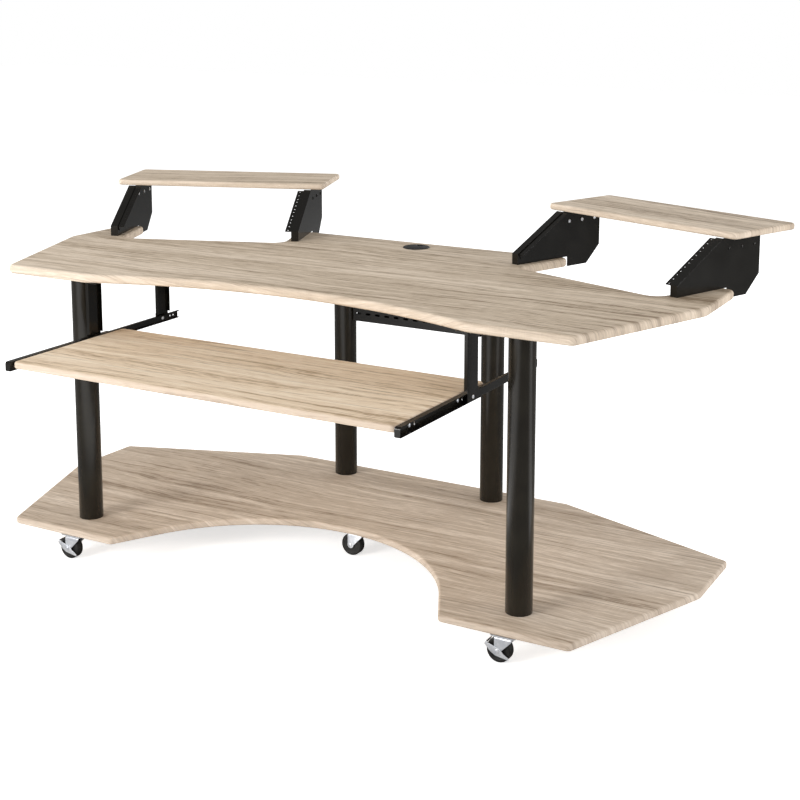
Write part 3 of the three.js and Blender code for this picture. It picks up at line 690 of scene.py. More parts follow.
def link(name: str, mesh: bpy.types.Mesh, material: bpy.types.Material | None = None) -> bpy.types.Object:
    """Puts a mesh in the scene.

    Args:
        name: The object's name.
        mesh: Its mesh.
        material: Its finish.

    Returns:
        The object.
    """
    mesh.name = name
    if material is not None:
        coat(mesh, material)
    obj = bpy.data.objects.new(name, mesh)
    bpy.context.scene.collection.objects.link(obj)
    return obj


def smooth(mesh: bpy.types.Mesh) -> None:
    """Shades a mesh smooth, but for its sharp edges."""
    mesh.shade_smooth()
    mesh.set_sharp_from_angle(angle=math.radians(SHARP_ANGLE))


def level_normals(mesh: bpy.types.Mesh) -> None:
    """Lets broad faces keep their own direction, so that only the roundings beside them are shaded round.

    Args:
        mesh: The mesh.
    """
    around: list[list[int]] = [[] for _ in mesh.vertices]
    for face in mesh.polygons:
        for vertex in face.vertices:
            around[vertex].append(face.index)
    directions = [face.normal.copy() for face in mesh.polygons]
    areas = [face.area for face in mesh.polygons]
    limit = math.cos(math.radians(SHARP_ANGLE))
    normals: list[Vector] = []
    for face in mesh.polygons:
        own = directions[face.index]
        for vertex in face.vertices:
            total = Vector()
            for other in around[vertex]:
                if directions[other].dot(own) > limit:
                    total += directions[other] * areas[other]
            normals.append(total.normalized() if total.length > 0 else own)
    mesh.normals_split_custom_set(normals)


def to_mesh(bm: bmesh.types.BMesh, place: Matrix | None = None) -> bpy.types.Mesh:
    """Turns a bmesh into a smooth-shaded mesh and frees it.

    Args:
        bm: The bmesh.
        place: Where it goes.

    Returns:
        The mesh.
    """
    mesh = bpy.data.meshes.new("draft")
    bm.to_mesh(mesh)
    bm.free()
    if place is not None:
        mesh.transform(place)
    smooth(mesh)
    return mesh


def absorb(bm: bmesh.types.BMesh, other: bmesh.types.BMesh) -> None:
    """Adds a second bmesh to a first, and frees the second.

    Args:
        bm: The bmesh that grows.
        other: The one that goes into it.
    """
    scratch = bpy.data.meshes.new("scratch")
    other.to_mesh(scratch)
    other.free()
    bm.from_mesh(scratch)
    bpy.data.meshes.remove(scratch)


def bridge(bm: bmesh.types.BMesh, rings: Sequence[Sequence[bmesh.types.BMVert]]) -> None:
    """Joins rings of points by faces, each ring to the next.

    Args:
        bm: The bmesh that they are in.
        rings: The rings, with as many points each.
    """
    for first, second in zip(rings, rings[1:]):
        for i in range(len(first)):
            j = (i + 1) % len(first)
            bm.faces.new((first[i], first[j], second[j], second[i]))


def prism(
    outline: Sequence[Sequence[float]], low: float, high: float, basis: Matrix | None = None
) -> bmesh.types.BMesh:
    """Draws an outline out along its third axis.

    Args:
        outline: Points, anticlockwise as seen from the high end.
        low: Where the prism starts.
        high: Where it ends.
        basis: Turns the prism's own axes into those of the desk.

    Returns:
        A bmesh.
    """
    bm = bmesh.new()
    rings = [[bm.verts.new((p[0], p[1], z)) for p in outline] for z in (low, high)]
    bm.faces.new(list(reversed(rings[0])))
    bm.faces.new(rings[1])
    bridge(bm, rings)
    if basis is not None:
        bm.transform(basis)
    bmesh.ops.recalc_face_normals(bm, faces=bm.faces)
    return bm


def sleeve(
    outer: Sequence[Vector], inner: Sequence[Vector], low: float, high: float, basis: Matrix
) -> bmesh.types.BMesh:
    """Draws a hollow section out along its third axis.

    Args:
        outer: The outer outline, anticlockwise.
        inner: The bore's outline, with as many points.
        low: Where the sleeve starts.
        high: Where it ends.
        basis: Turns the sleeve's own axes into those of the desk.

    Returns:
        A bmesh.
    """
    bm = bmesh.new()
    rings = [
        [bm.verts.new((p[0], p[1], z)) for p in outline]
        for outline, z in ((outer, low), (outer, high), (inner, high), (inner, low))
    ]
    bridge(bm, [*rings, rings[0]])
    bm.transform(basis)
    bmesh.ops.recalc_face_normals(bm, faces=bm.faces)
    return bm


def turned(profile: Sequence[Point], sides: int, closed: bool = True) -> bmesh.types.BMesh:
    """Turns a profile of radius and height about the third axis.

    Args:
        profile: Radius and height pairs.
        sides: Steps round the axis.
        closed: Whether the profile is a closed loop.

    Returns:
        A bmesh with its poles merged.
    """
    bm = bmesh.new()
    angles = [math.tau * k / sides for k in range(sides)]
    rings = [[bm.verts.new((r * math.cos(a), r * math.sin(a), z)) for a in angles] for r, z in profile]
    bridge(bm, [*rings, rings[0]] if closed else rings)
    bmesh.ops.remove_doubles(bm, verts=bm.verts, dist=POLE_MERGE)
    bmesh.ops.dissolve_degenerate(bm, edges=bm.edges, dist=POLE_MERGE)
    bmesh.ops.recalc_face_normals(bm, faces=bm.faces)
    return bm


def soften(bm: bmesh.types.BMesh, width: float, segments: int = 2, above: float = 25.0) -> bmesh.types.BMesh:
    """Bevels the edges that turn by more than an angle.

    Args:
        bm: The bmesh.
        width: The bevel's width.
        segments: Its steps.
        above: The angle in degrees.

    Returns:
        The same bmesh.
    """
    limit = math.radians(above)
    edges = [e for e in bm.edges if len(e.link_faces) == 2 and e.calc_face_angle(0.0) > limit]
    bmesh.ops.bevel(
        bm, geom=edges, offset=width, segments=segments, profile=0.5, affect="EDGES", clamp_overlap=True
    )
    return bm


def cad_copy(node: str, width: float, material: bpy.types.Material) -> bpy.types.Object:
    """Copies a CAD node, merges its loose triangles to whole faces and rounds its edges.

    Args:
        node: The CAD node's name.
        width: The edge rounding.
        material: Its finish.

    Returns:
        The new object.
    """
    bm = bmesh.new()
    bm.from_mesh(bpy.data.objects[node].data)
    bmesh.ops.remove_doubles(bm, verts=bm.verts, dist=CAD_MERGE)
    bmesh.ops.dissolve_limit(bm, angle_limit=math.radians(FLAT_ANGLE), verts=bm.verts, edges=bm.edges)
    mesh = to_mesh(soften(bm, width))
    level_normals(mesh)
    return link(f"{node}_finish", mesh, material)


def settle(obj: bpy.types.Object, body: str, slot: Slot, *nodes: str) -> None:
    """Hands a finished piece to the frame.

    Args:
        obj: The piece, with its place in its mesh.
        body: The CAD body that it rides on.
        slot: The record's slot of its finish; not used.
        *nodes: The CAD nodes that it stands for.
    """
    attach(obj, body)
    if nodes:
        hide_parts(*nodes)
    LOG.info("%s rides on %s, %d faces", obj.name, body, len(obj.data.polygons))


def dress(node: str, material: bpy.types.Material) -> None:
    """Gives a CAD node that stays in view its finish."""
    coat(bpy.data.objects[node].data, material)


# Geometry Nodes trees


def run_tree(
    obj: bpy.types.Object, tree: bpy.types.NodeTree, values: dict[str, Any], name: str
) -> bpy.types.Object:
    """Runs a Geometry Nodes tree on an object and keeps the plain mesh that comes out.

    Args:
        obj: The object that the tree starts from; it is removed.
        tree: The tree.
        values: Its inputs by name.
        name: The new object's name.

    Returns:
        The new object.
    """
    modifier = obj.modifiers.new(tree.name, "NODES")
    modifier.node_group = tree
    keys = {s.name: s.identifier for s in tree.interface.items_tree if s.item_type == "SOCKET"}
    for label, value in values.items():
        modifier[keys[label]] = value
    bpy.context.view_layer.update()
    evaluated = obj.evaluated_get(bpy.context.evaluated_depsgraph_get())
    mesh = bpy.data.meshes.new_from_object(evaluated)
    obj.modifiers.remove(modifier)
    bpy.data.objects.remove(obj)
    smooth(mesh)
    return link(name, mesh)


def perforate_tree() -> bpy.types.NodeTree:
    """Rows of equal holes through a sheet: groups of holes at one step, repeated at another.

    Returns:
        The tree.
    """
    graph, box, out = start_group(
        "perforate", TreeType.GEOMETRY,
        {
            "Geometry": Kind.GEOMETRY, "Cutter": Kind.OBJECT, "Start": Kind.VECTOR, "Hole Step": Kind.VECTOR,
            "Group Step": Kind.VECTOR, "Holes": Kind.INT, "Groups": Kind.INT, "Finish": Kind.MATERIAL,
        },
        {"Geometry": Kind.GEOMETRY},
    )
    count = graph.math("MULTIPLY", box["Holes"], box["Groups"])
    line = graph.add("GeometryNodeMeshLine", {"Count": count, "Offset": (0.0, 0.0, 0.0)}, mode="OFFSET")
    index = graph.add("GeometryNodeInputIndex").outputs[0]
    group = graph.math("FLOOR", graph.math("DIVIDE", index, box["Holes"]))
    within = graph.math("MODULO", index, box["Holes"])
    along = graph.scale_vector(box["Hole Step"], within)
    jump = graph.scale_vector(box["Group Step"], group)
    place = graph.add_vectors(box["Start"], graph.add_vectors(along, jump))
    spots = graph.add("GeometryNodeSetPosition", {"Geometry": line.outputs[0], "Position": place})
    cutter = graph.add("GeometryNodeObjectInfo", {"Object": box["Cutter"]})
    holes = graph.add(
        "GeometryNodeInstanceOnPoints", {"Points": spots.outputs[0], "Instance": cutter.outputs["Geometry"]}
    )
    real = graph.add("GeometryNodeRealizeInstances", {"Geometry": holes.outputs[0]})
    drill = graph.add(
        "GeometryNodeMeshBoolean", {"Mesh 1": box["Geometry"], "Mesh 2": real.outputs[0]},
        operation="DIFFERENCE", solver="EXACT",
    )
    whole = graph.add("GeometryNodeRealizeInstances", {"Geometry": drill.outputs["Mesh"]})
    dressed = graph.add("GeometryNodeSetMaterial", {"Geometry": whole.outputs[0], "Material": box["Finish"]})
    graph.put(out[0], dressed.outputs[0])
    return graph.tree


def fastener_tree() -> bpy.types.NodeTree:
    """A fastener on each point of a carrier, aimed along the point's own aim and spun at random.

    Returns:
        The tree.
    """
    graph, box, out = start_group(
        "set_fasteners", TreeType.GEOMETRY,
        {"Geometry": Kind.GEOMETRY, "Head": Kind.OBJECT, "Seed": Kind.INT, "Finish": Kind.MATERIAL},
        {"Geometry": Kind.GEOMETRY},
    )
    aim = graph.add("GeometryNodeInputNamedAttribute", {"Name": "aim"}, data_type="FLOAT_VECTOR")
    lean = graph.add("FunctionNodeAlignRotationToVector", {"Vector": aim.outputs[0]}, axis="Z")
    whole_turn = {"Max": (0.0, 0.0, math.tau), "Seed": box["Seed"]}
    spin = graph.add("FunctionNodeRandomValue", whole_turn, data_type="FLOAT_VECTOR")
    turn = graph.add("FunctionNodeEulerToRotation", {0: spin.outputs[0]})
    both = graph.add(
        "FunctionNodeRotateRotation", {0: lean.outputs[0], 1: turn.outputs[0]}, rotation_space="LOCAL"
    )
    head = graph.add("GeometryNodeObjectInfo", {"Object": box["Head"]})
    heads = graph.add(
        "GeometryNodeInstanceOnPoints",
        {"Points": box["Geometry"], "Instance": head.outputs["Geometry"], "Rotation": both.outputs[0]},
    )
    real = graph.add("GeometryNodeRealizeInstances", {"Geometry": heads.outputs[0]})
    dressed = graph.add("GeometryNodeSetMaterial", {"Geometry": real.outputs[0], "Material": box["Finish"]})
    graph.put(out[0], dressed.outputs[0])
    return graph.tree


@dataclass
class Perforation:
    """Rows of equal holes, cut by a Geometry Nodes tree."""

    tree: bpy.types.NodeTree = field(default_factory=perforate_tree)

    def cut(
        self, body: bpy.types.Object, outline: Sequence[Point], depth: float, basis: Matrix,
        values: dict[str, Any], name: str
    ) -> bpy.types.Object:
        """Cuts the holes.

        Args:
            body: The piece before it has its holes; it is removed.
            outline: A hole's outline.
            depth: The cutter's length.
            basis: Turns the cutter's third axis to the holes' direction.
            values: The tree's inputs by name, but for the cutter.
            name: The new object's name.

        Returns:
            The new object.
        """
        cutter = link("cutter", to_mesh(prism(outline, -depth / 2, depth / 2, basis)))
        made = run_tree(body, self.tree, {"Cutter": cutter, **values}, name)
        bpy.data.objects.remove(cutter)
        level_normals(made.data)
        return made


@dataclass
class ScrewSet:
    """Pan-head screws with a cross recess, set by a Geometry Nodes tree on the points they are given."""

    tree: bpy.types.NodeTree = field(default_factory=fastener_tree)
    radius: float = 0.0045
    height: float = 0.0022
    rim_share: float = 0.35
    arm_share: float = 0.55
    arm_width_share: float = 0.13
    recess_share: float = 0.5
    sides: int = 20
    dome_steps: int = 6
    seed: int = 7

    def _head(self) -> bpy.types.Object:
        """One head, on the origin, up its third axis.

        Returns:
            A scratch object.
        """
        r, h = self.radius, self.height
        crown = dome((0.0, h * self.rim_share), r, h * (1 - self.rim_share), self.dome_steps)
        head = link("screw_head", to_mesh(turned([(0.0, 0.0), (r, 0.0), *crown], self.sides, closed=False)))
        arm, wide = r * self.arm_share, r * self.arm_width_share
        cross = [(arm, -wide), (arm, wide), (wide, wide)]
        for _ in range(3):
            cross += [(-y, x) for x, y in cross[-3:]]
        tool = link("screw_recess", to_mesh(prism(cross, h - h * self.recess_share, h * 2)))
        cut = head.modifiers.new("recess", "BOOLEAN")
        cut.operation, cut.object, cut.solver = "DIFFERENCE", tool, "EXACT"
        bpy.context.view_layer.update()
        mesh = bpy.data.meshes.new_from_object(head.evaluated_get(bpy.context.evaluated_depsgraph_get()))
        for spent in (head, tool):
            bpy.data.objects.remove(spent)
        smooth(mesh)
        return link("screw_head", mesh)

    def place(
        self, name: str, spots: Sequence[tuple[Vector, Vector]], material: bpy.types.Material
    ) -> bpy.types.Object:
        """Sets a screw on each spot.

        Args:
            name: The piece's name.
            spots: Where each head sits and where it points.
            material: The screws' finish.

        Returns:
            The screws as one mesh.
        """
        mesh = bpy.data.meshes.new("carrier")
        mesh.from_pydata([tuple(spot) for spot, _ in spots], [], [])
        aims = mesh.attributes.new("aim", "FLOAT_VECTOR", "POINT")
        aims.data.foreach_set("vector", [value for _, aim in spots for value in aim.normalized()])
        head = self._head()
        values = {"Head": head, "Seed": self.seed, "Finish": material}
        made = run_tree(link("carrier", mesh), self.tree, values, name)
        bpy.data.objects.remove(head)
        return made


# Wrapped boards


class FoilDraft:
    """A mesh in the making: each point knows its normal, its place on the foil and its share of rim."""

    def __init__(self) -> None:
        """Starts an empty mesh with its foil map and its rim attribute."""
        self.bm = bmesh.new()
        self.foil = self.bm.loops.layers.uv.new("foil")
        self.rim = self.bm.verts.layers.float.new("rim")
        self.normals: list[Vector] = []
        self.places: list[Point] = []

    def point(
        self, spot: Sequence[float], normal: Vector, place: Point, rim: float = 0.0
    ) -> bmesh.types.BMVert:
        """Adds a point.

        Args:
            spot: Where it is.
            normal: The normal of the surface there.
            place: Its place on the foil.
            rim: 0 on the flat, 1 on the edge.

        Returns:
            The point.
        """
        vertex = self.bm.verts.new(spot)
        vertex[self.rim] = rim
        vertex.index = len(self.normals)
        self.normals.append(normal.normalized())
        self.places.append(place)
        return vertex

    def cap(self, row: list[bmesh.types.BMVert], ring: list[bmesh.types.BMVert], up: int) -> None:
        """Fills a flat face inside a row of points, round a hole if there is one.

        Args:
            row: The points round the face.
            ring: The points round the hole, or none.
            up: 1 on top, -1 underneath.
        """
        if not ring:
            self.bm.faces.new(row if up > 0 else list(reversed(row)))
            return
        edges = [self.bm.edges.get(pair) for pair in zip(row, [*row[1:], row[0]])]
        edges += [self.bm.edges.new(pair) for pair in zip(ring, [*ring[1:], ring[0]])]
        made = bmesh.ops.triangle_fill(self.bm, use_beauty=True, use_dissolve=False, edges=edges)
        for face in (found for found in made["geom"] if isinstance(found, bmesh.types.BMFace)):
            face.normal_update()
            if face.normal.z * up < 0:
                face.normal_flip()

    def finish(self, name: str) -> bpy.types.Mesh:
        """Turns the draft into a mesh and frees it.

        Args:
            name: The mesh's name.

        Returns:
            The mesh, with its foil map and its normals.
        """
        for face in self.bm.faces:
            face.smooth = True
            for loop in face.loops:
                loop[self.foil].uv = self.places[loop.vert.index]
        mesh = bpy.data.meshes.new(name)
        self.bm.to_mesh(mesh)
        self.bm.free()
        mesh.normals_split_custom_set_from_vertices(self.normals)
        return mesh


@dataclass
class WrappedBoard:
    """A board wrapped in foil: flat faces, rounded-over edges, and a foil map that runs over the edge."""

    name: str
    outline: list[Vector]
    bottom: float
    top: float
    edge: float
    hole: tuple[float, float, float] | None = None
    place: Matrix = field(default_factory=lambda: Matrix.Identity(4))
    edge_steps: int = 8
    hole_sides: int = 64
    least_mitre: float = 0.5

    def _sections(self) -> list[tuple[float, float, float, float]]:
        """The edge from the top's seam to the underside's.

        Returns:
            For each row of points: inset, height, the normal's angle from upright, and length over the edge.
        """
        rows = []
        quarter = self.edge * math.pi / 2
        straight = self.top - self.bottom - 2 * self.edge
        for k in range(self.edge_steps + 1):
            a = math.pi / 2 * k / self.edge_steps
            drop = self.edge * (1 - math.cos(a))
            rows.append((self.edge * (1 - math.sin(a)), self.top - drop, a, self.edge * a))
        for k in range(self.edge_steps + 1):
            a = math.pi / 2 * (1 + k / self.edge_steps)
            rise = self.edge * (1 + math.cos(a))
            run = quarter + straight + self.edge * (a - math.pi / 2)
            rows.append((self.edge * (1 - math.sin(a)), self.bottom + rise, a, run))
        return rows

    def _normals(self) -> list[tuple[Vector, float]]:
        """Looks outwards from each point of the outline.

        Returns:
            The outward direction at each point, and the stretch of a mitred offset.
        """
        count = len(self.outline)
        found = []
        for i, point in enumerate(self.outline):
            into = (point - self.outline[i - 1]).normalized()
            away = (self.outline[(i + 1) % count] - point).normalized()
            first, second = Vector((into.y, -into.x)), Vector((away.y, -away.x))
            middle = (first + second).normalized()
            found.append((middle, 1 / max(self.least_mitre, middle.dot(first))))
        return found

    def _edge(self, draft: FoilDraft) -> list[list[bmesh.types.BMVert]]:
        """Draws the edge.

        Args:
            draft: The mesh in the making.

        Returns:
            The rows of points, from the top's seam to the underside's.
        """
        directions = self._normals()
        rows = []
        for inset, z, angle, run in self._sections():
            side, up = math.sin(angle), math.cos(angle)
            row = []
            for point, (out, stretch) in zip(self.outline, directions):
                flat = point - out * (inset * stretch)
                seam = point - out * (self.edge * stretch)
                normal = Vector((out.x * side, out.y * side, up))
                place = (seam.x + out.x * run, seam.y + out.y * run)
                row.append(draft.point((flat.x, flat.y, z), normal, place, side))
            rows.append(row)
        for upper, lower in zip(rows, rows[1:]):
            for i in range(len(upper)):
                j = (i + 1) % len(upper)
                draft.bm.faces.new((upper[i], lower[i], lower[j], upper[j]))
        return rows

    def _bore(self, draft: FoilDraft) -> list[list[bmesh.types.BMVert]]:
        """Draws the hole's wall.

        Args:
            draft: The mesh in the making.

        Returns:
            Two rings of points on top and two underneath; the first and the last belong to the flat faces.
        """
        x, y, radius = self.hole
        rings = []
        for z, up in ((self.top, 1.0), (self.top, 0.0), (self.bottom, 0.0), (self.bottom, -1.0)):
            ring = []
            for k in range(self.hole_sides):
                a = math.tau * k / self.hole_sides
                spot = Vector((x + radius * math.cos(a), y + radius * math.sin(a), z))
                inward = Vector((-math.cos(a), -math.sin(a), 0.0))
                ring.append(draft.point(spot, Vector((0, 0, up)) if up else inward, (spot.x, spot.y)))
            rings.append(ring)
        bridge(draft.bm, rings[1:3])
        return rings

    def build(self, material: bpy.types.Material) -> bpy.types.Object:
        """Builds the board.

        Args:
            material: Its foil.

        Returns:
            The object.
        """
        draft = FoilDraft()
        rows = self._edge(draft)
        rings = self._bore(draft) if self.hole else [[]]
        draft.cap(rows[0], rings[0], 1)
        draft.cap(rows[-1], rings[-1], -1)
        mesh = draft.finish(self.name)
        mesh.transform(self.place)
        return link(self.name, mesh, material)


# The desk


@dataclass(frozen=True)
class DeskPlan:
    """The outline that the desktop and the base board share, and the places of the racks and the grommet."""

    shift: float
    wing_half: float = 0.900
    wing_rear_half: float = 0.892
    front_half: float = 0.757
    front_y: float = -0.415
    widest_y: float = -0.020
    rear_y: float = 0.362
    wing_corner: float = 0.045
    rear_corner: float = 0.016
    front_corner: float = 0.018
    hollow_crest: float = -0.315
    hollow_radius: float = 1.360
    hollow_corner: float = 0.090
    hollow_steps: int = 40
    base_margin: float = 0.006
    base_front_corner: float = 0.014
    base_rear_corner: float = 0.011
    base_crest: float = -0.066
    base_radius: float = 0.445
    foot_half: float = 0.455
    foot_corner: float = 0.012
    rack_x: float = 0.5625
    toe: float = math.radians(20)
    opening: float = 0.450
    notch_rear: float = 0.170318
    notch_front: float = -0.023
    notch_corner: float = 0.034
    grommet_y: float = 0.295
    grommet_hole: float = 0.030

    @property
    def rack_y(self) -> float:
        """The place along Y that the racks' own frames start from."""
        return self.rear_y - self.opening / 2 * math.sin(self.toe) - self.notch_rear * math.cos(self.toe)

    @property
    def rear_half(self) -> float:
        """Half the width of the rear edge, up to the first notch."""
        return self.rack_x - self.opening / 2 * math.cos(self.toe) + self.notch_rear * math.sin(self.toe)

    @property
    def wing_rear_y(self) -> float:
        """Where the slanting rear edge meets the wing's end."""
        return self.rear_y - (self.wing_rear_half - self.rear_half) * math.tan(self.toe)

    def rack_corner(self, w: float, t: float, radius: float) -> Corner:
        """A place across and back in the right-hand rack, as a corner of the desk."""
        across, back = math.cos(self.toe), math.sin(self.toe)
        return (self.rack_x + w * across + t * back, self.rack_y - w * back + t * across, radius)

    def whole(self, half: Sequence[Corner]) -> list[Vector]:
        """Mirrors the right half of an outline and moves the whole to where the CAD has it.

        Args:
            half: Its corners, from the front centre round to the rear centre.

        Returns:
            The outline's points.
        """
        left = [(-x, y, r) for x, y, r in reversed(half) if x > 0]
        return [point + Vector((0.0, self.shift)) for point in rounded([*half, *left])]

    def hollow(self, crest: float, radius: float, half: float) -> list[Corner]:
        """Draws a hollow front edge from its crest out to a half width.

        Args:
            crest: The place of its deepest point along Y.
            radius: Its radius.
            half: Its half width.

        Returns:
            Its points, but for the last.
        """
        sweep = math.asin(half / radius)
        angles = [sweep * k / self.hollow_steps for k in range(self.hollow_steps)]
        return [(radius * math.sin(a), crest - radius * (1 - math.cos(a)), 0.0) for a in angles]

    def base_outline(self) -> list[Vector]:
        """Draws the base board, with its deep hollow.

        Returns:
            The outline's points.
        """
        radius, margin, corner = self.base_radius, self.base_margin, self.base_rear_corner
        front = self.front_y - margin
        slant = margin * (1 / math.cos(self.toe) - math.tan(self.toe))
        centre = self.base_crest - radius
        rise = front - centre
        tangent = math.atan2(self.foot_half, rise) - math.acos(radius / math.hypot(self.foot_half, rise))
        reach = radius * math.sin(tangent)
        return self.whole([
            *self.hollow(self.base_crest, radius, reach),
            (reach, centre + radius * math.cos(tangent), 0.0),
            (self.foot_half, front, self.foot_corner),
            (self.front_half + margin, front, self.base_front_corner),
            (self.wing_half + margin, self.widest_y, self.wing_corner),
            (self.wing_rear_half + margin, self.wing_rear_y + slant, corner),
            (self.rear_half + margin * math.tan(self.toe / 2), self.rear_y + margin, corner),
        ])

    def desktop_outline(self) -> list[Vector]:
        """Draws the desktop, with its shallow hollow and a notch for each rack.

        Returns:
            The outline's points.
        """
        drop = self.hollow_crest - self.front_y
        arc_half = math.sqrt(2 * self.hollow_radius * drop - drop**2)
        half = self.opening / 2
        return self.whole([
            *self.hollow(self.hollow_crest, self.hollow_radius, arc_half)[:-1],
            (arc_half, self.front_y, self.hollow_corner),
            (self.front_half, self.front_y, self.front_corner),
            (self.wing_half, self.widest_y, self.wing_corner),
            (self.wing_rear_half, self.wing_rear_y, self.rear_corner),
            self.rack_corner(half, self.notch_rear, self.rear_corner),
            self.rack_corner(half, self.notch_front, self.notch_corner),
            self.rack_corner(-half, self.notch_front, self.notch_corner),
            self.rack_corner(-half, self.notch_rear, self.rear_corner),
        ])


@dataclass
class Boards:
    """The desktop and the base board."""

    plan: DeskPlan
    palette: Palette
    desktop_edge: float = 0.007
    base_edge: float = 0.0055

    def build(self) -> None:
        """Builds both boards in place of their CAD nodes."""
        hole = (0.0, self.plan.grommet_y + self.plan.shift, self.plan.grommet_hole)
        for word, outline, edge, bore, foil in (
            ("desktop", self.plan.desktop_outline(), self.desktop_edge, hole, self.palette.top),
            ("base", self.plan.base_outline(), self.base_edge, None, self.palette.base),
        ):
            low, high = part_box(f"{word}_board")
            board = WrappedBoard(f"{word}_wrapped", outline, low.z, high.z, edge, bore)
            settle(board.build(foil), "desk", Slot.OAK, f"{word}_board")


@dataclass
class Legs:
    """The four tube legs with their foot bolts and their studs."""

    palette: Palette
    radius: float = 0.030
    wall: float = 0.002
    rim: float = 0.0006
    plug: float = 0.004
    bolt_hole: float = 0.0045
    sides: int = 72

    def build(self) -> None:
        """Builds the tubes, and dresses the bolts and the studs."""
        for side in Side:
            for end in ("front", "rear"):
                self._tube(f"leg_{end}_{side.word}")
                for part in ("bolt", "stud"):
                    dress(f"leg_{part}_{end}_{side.word}", self.palette.zinc)

    def _tube(self, node: str) -> None:
        """Builds one leg: a tube with a plug in each end.

        Args:
            node: Its CAD node.
        """
        low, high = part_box(node)
        middle = (low + high) / 2
        bottom, top, r, rim = low.z, high.z, self.radius, self.rim
        bore, hole, plug = r - self.wall, self.bolt_hole, self.plug
        profile = [
            (hole, bottom), (r - rim, bottom), (r - rim / 3, bottom + rim / 3), (r, bottom + rim),
            (r, top - rim), (r - rim, top), (hole, top), (hole, top - plug), (bore, top - plug),
            (bore, bottom + plug), (hole, bottom + plug),
        ]
        mesh = to_mesh(turned(profile, self.sides), Matrix.Translation((middle.x, middle.y, 0.0)))
        # the tube coat is the black coat made lighter, a painted sheen
        settle(link(f"{node}_tube", mesh, self.palette.tube), "desk", Slot.BLACK, node)


@dataclass
class Crossbar:
    """The tube between the rear legs, slotted in front."""

    palette: Palette
    perforation: Perforation
    sheet: float = 0.002
    bend_step: float = math.radians(15)
    end_gap: float = 0.004
    pitch: float = 0.029
    slot_length: float = 0.015
    slot_height: float = 0.006
    slots: int = 13

    def build(self) -> None:
        """Builds the tube and cuts its slots."""
        low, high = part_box("rear_crossbar")
        s, y0, y1, z0, z1 = self.sheet, low.y, high.y, low.z, high.z
        outer, inner = (
            rounded([(x0, y, r), (x1, y, r), (x1, top, r), (x0, top, r)], self.bend_step)
            for x0, x1, y, top, r in ((y0, y1, z0, z1, s), (y0 + s, y1 - s, z0 + s, z1 - s, s / 3))
        )
        half = high.x - self.end_gap
        body = link("crossbar_body", to_mesh(sleeve(outer, inner, -half, half, ALONG_X)))
        r = self.slot_height / 2
        run = self.slot_length / 2 - r
        outline = arc((run, 0.0), r, -90, 90, SLOT_STEPS) + arc((-run, 0.0), r, 90, 270, SLOT_STEPS)
        values = {
            "Start": (-self.pitch * (self.slots - 1) / 2, y0 + s / 2, (z0 + z1) / 2),
            "Hole Step": (0.0, 0.0, 0.0), "Group Step": (self.pitch, 0.0, 0.0), "Holes": 1,
            "Groups": self.slots, "Finish": self.palette.black,
        }
        bar = self.perforation.cut(body, outline, CUTTER_SHEETS * s, ALONG_Y, values, "crossbar_tube")
        settle(bar, "desk", Slot.BLACK, "rear_crossbar")


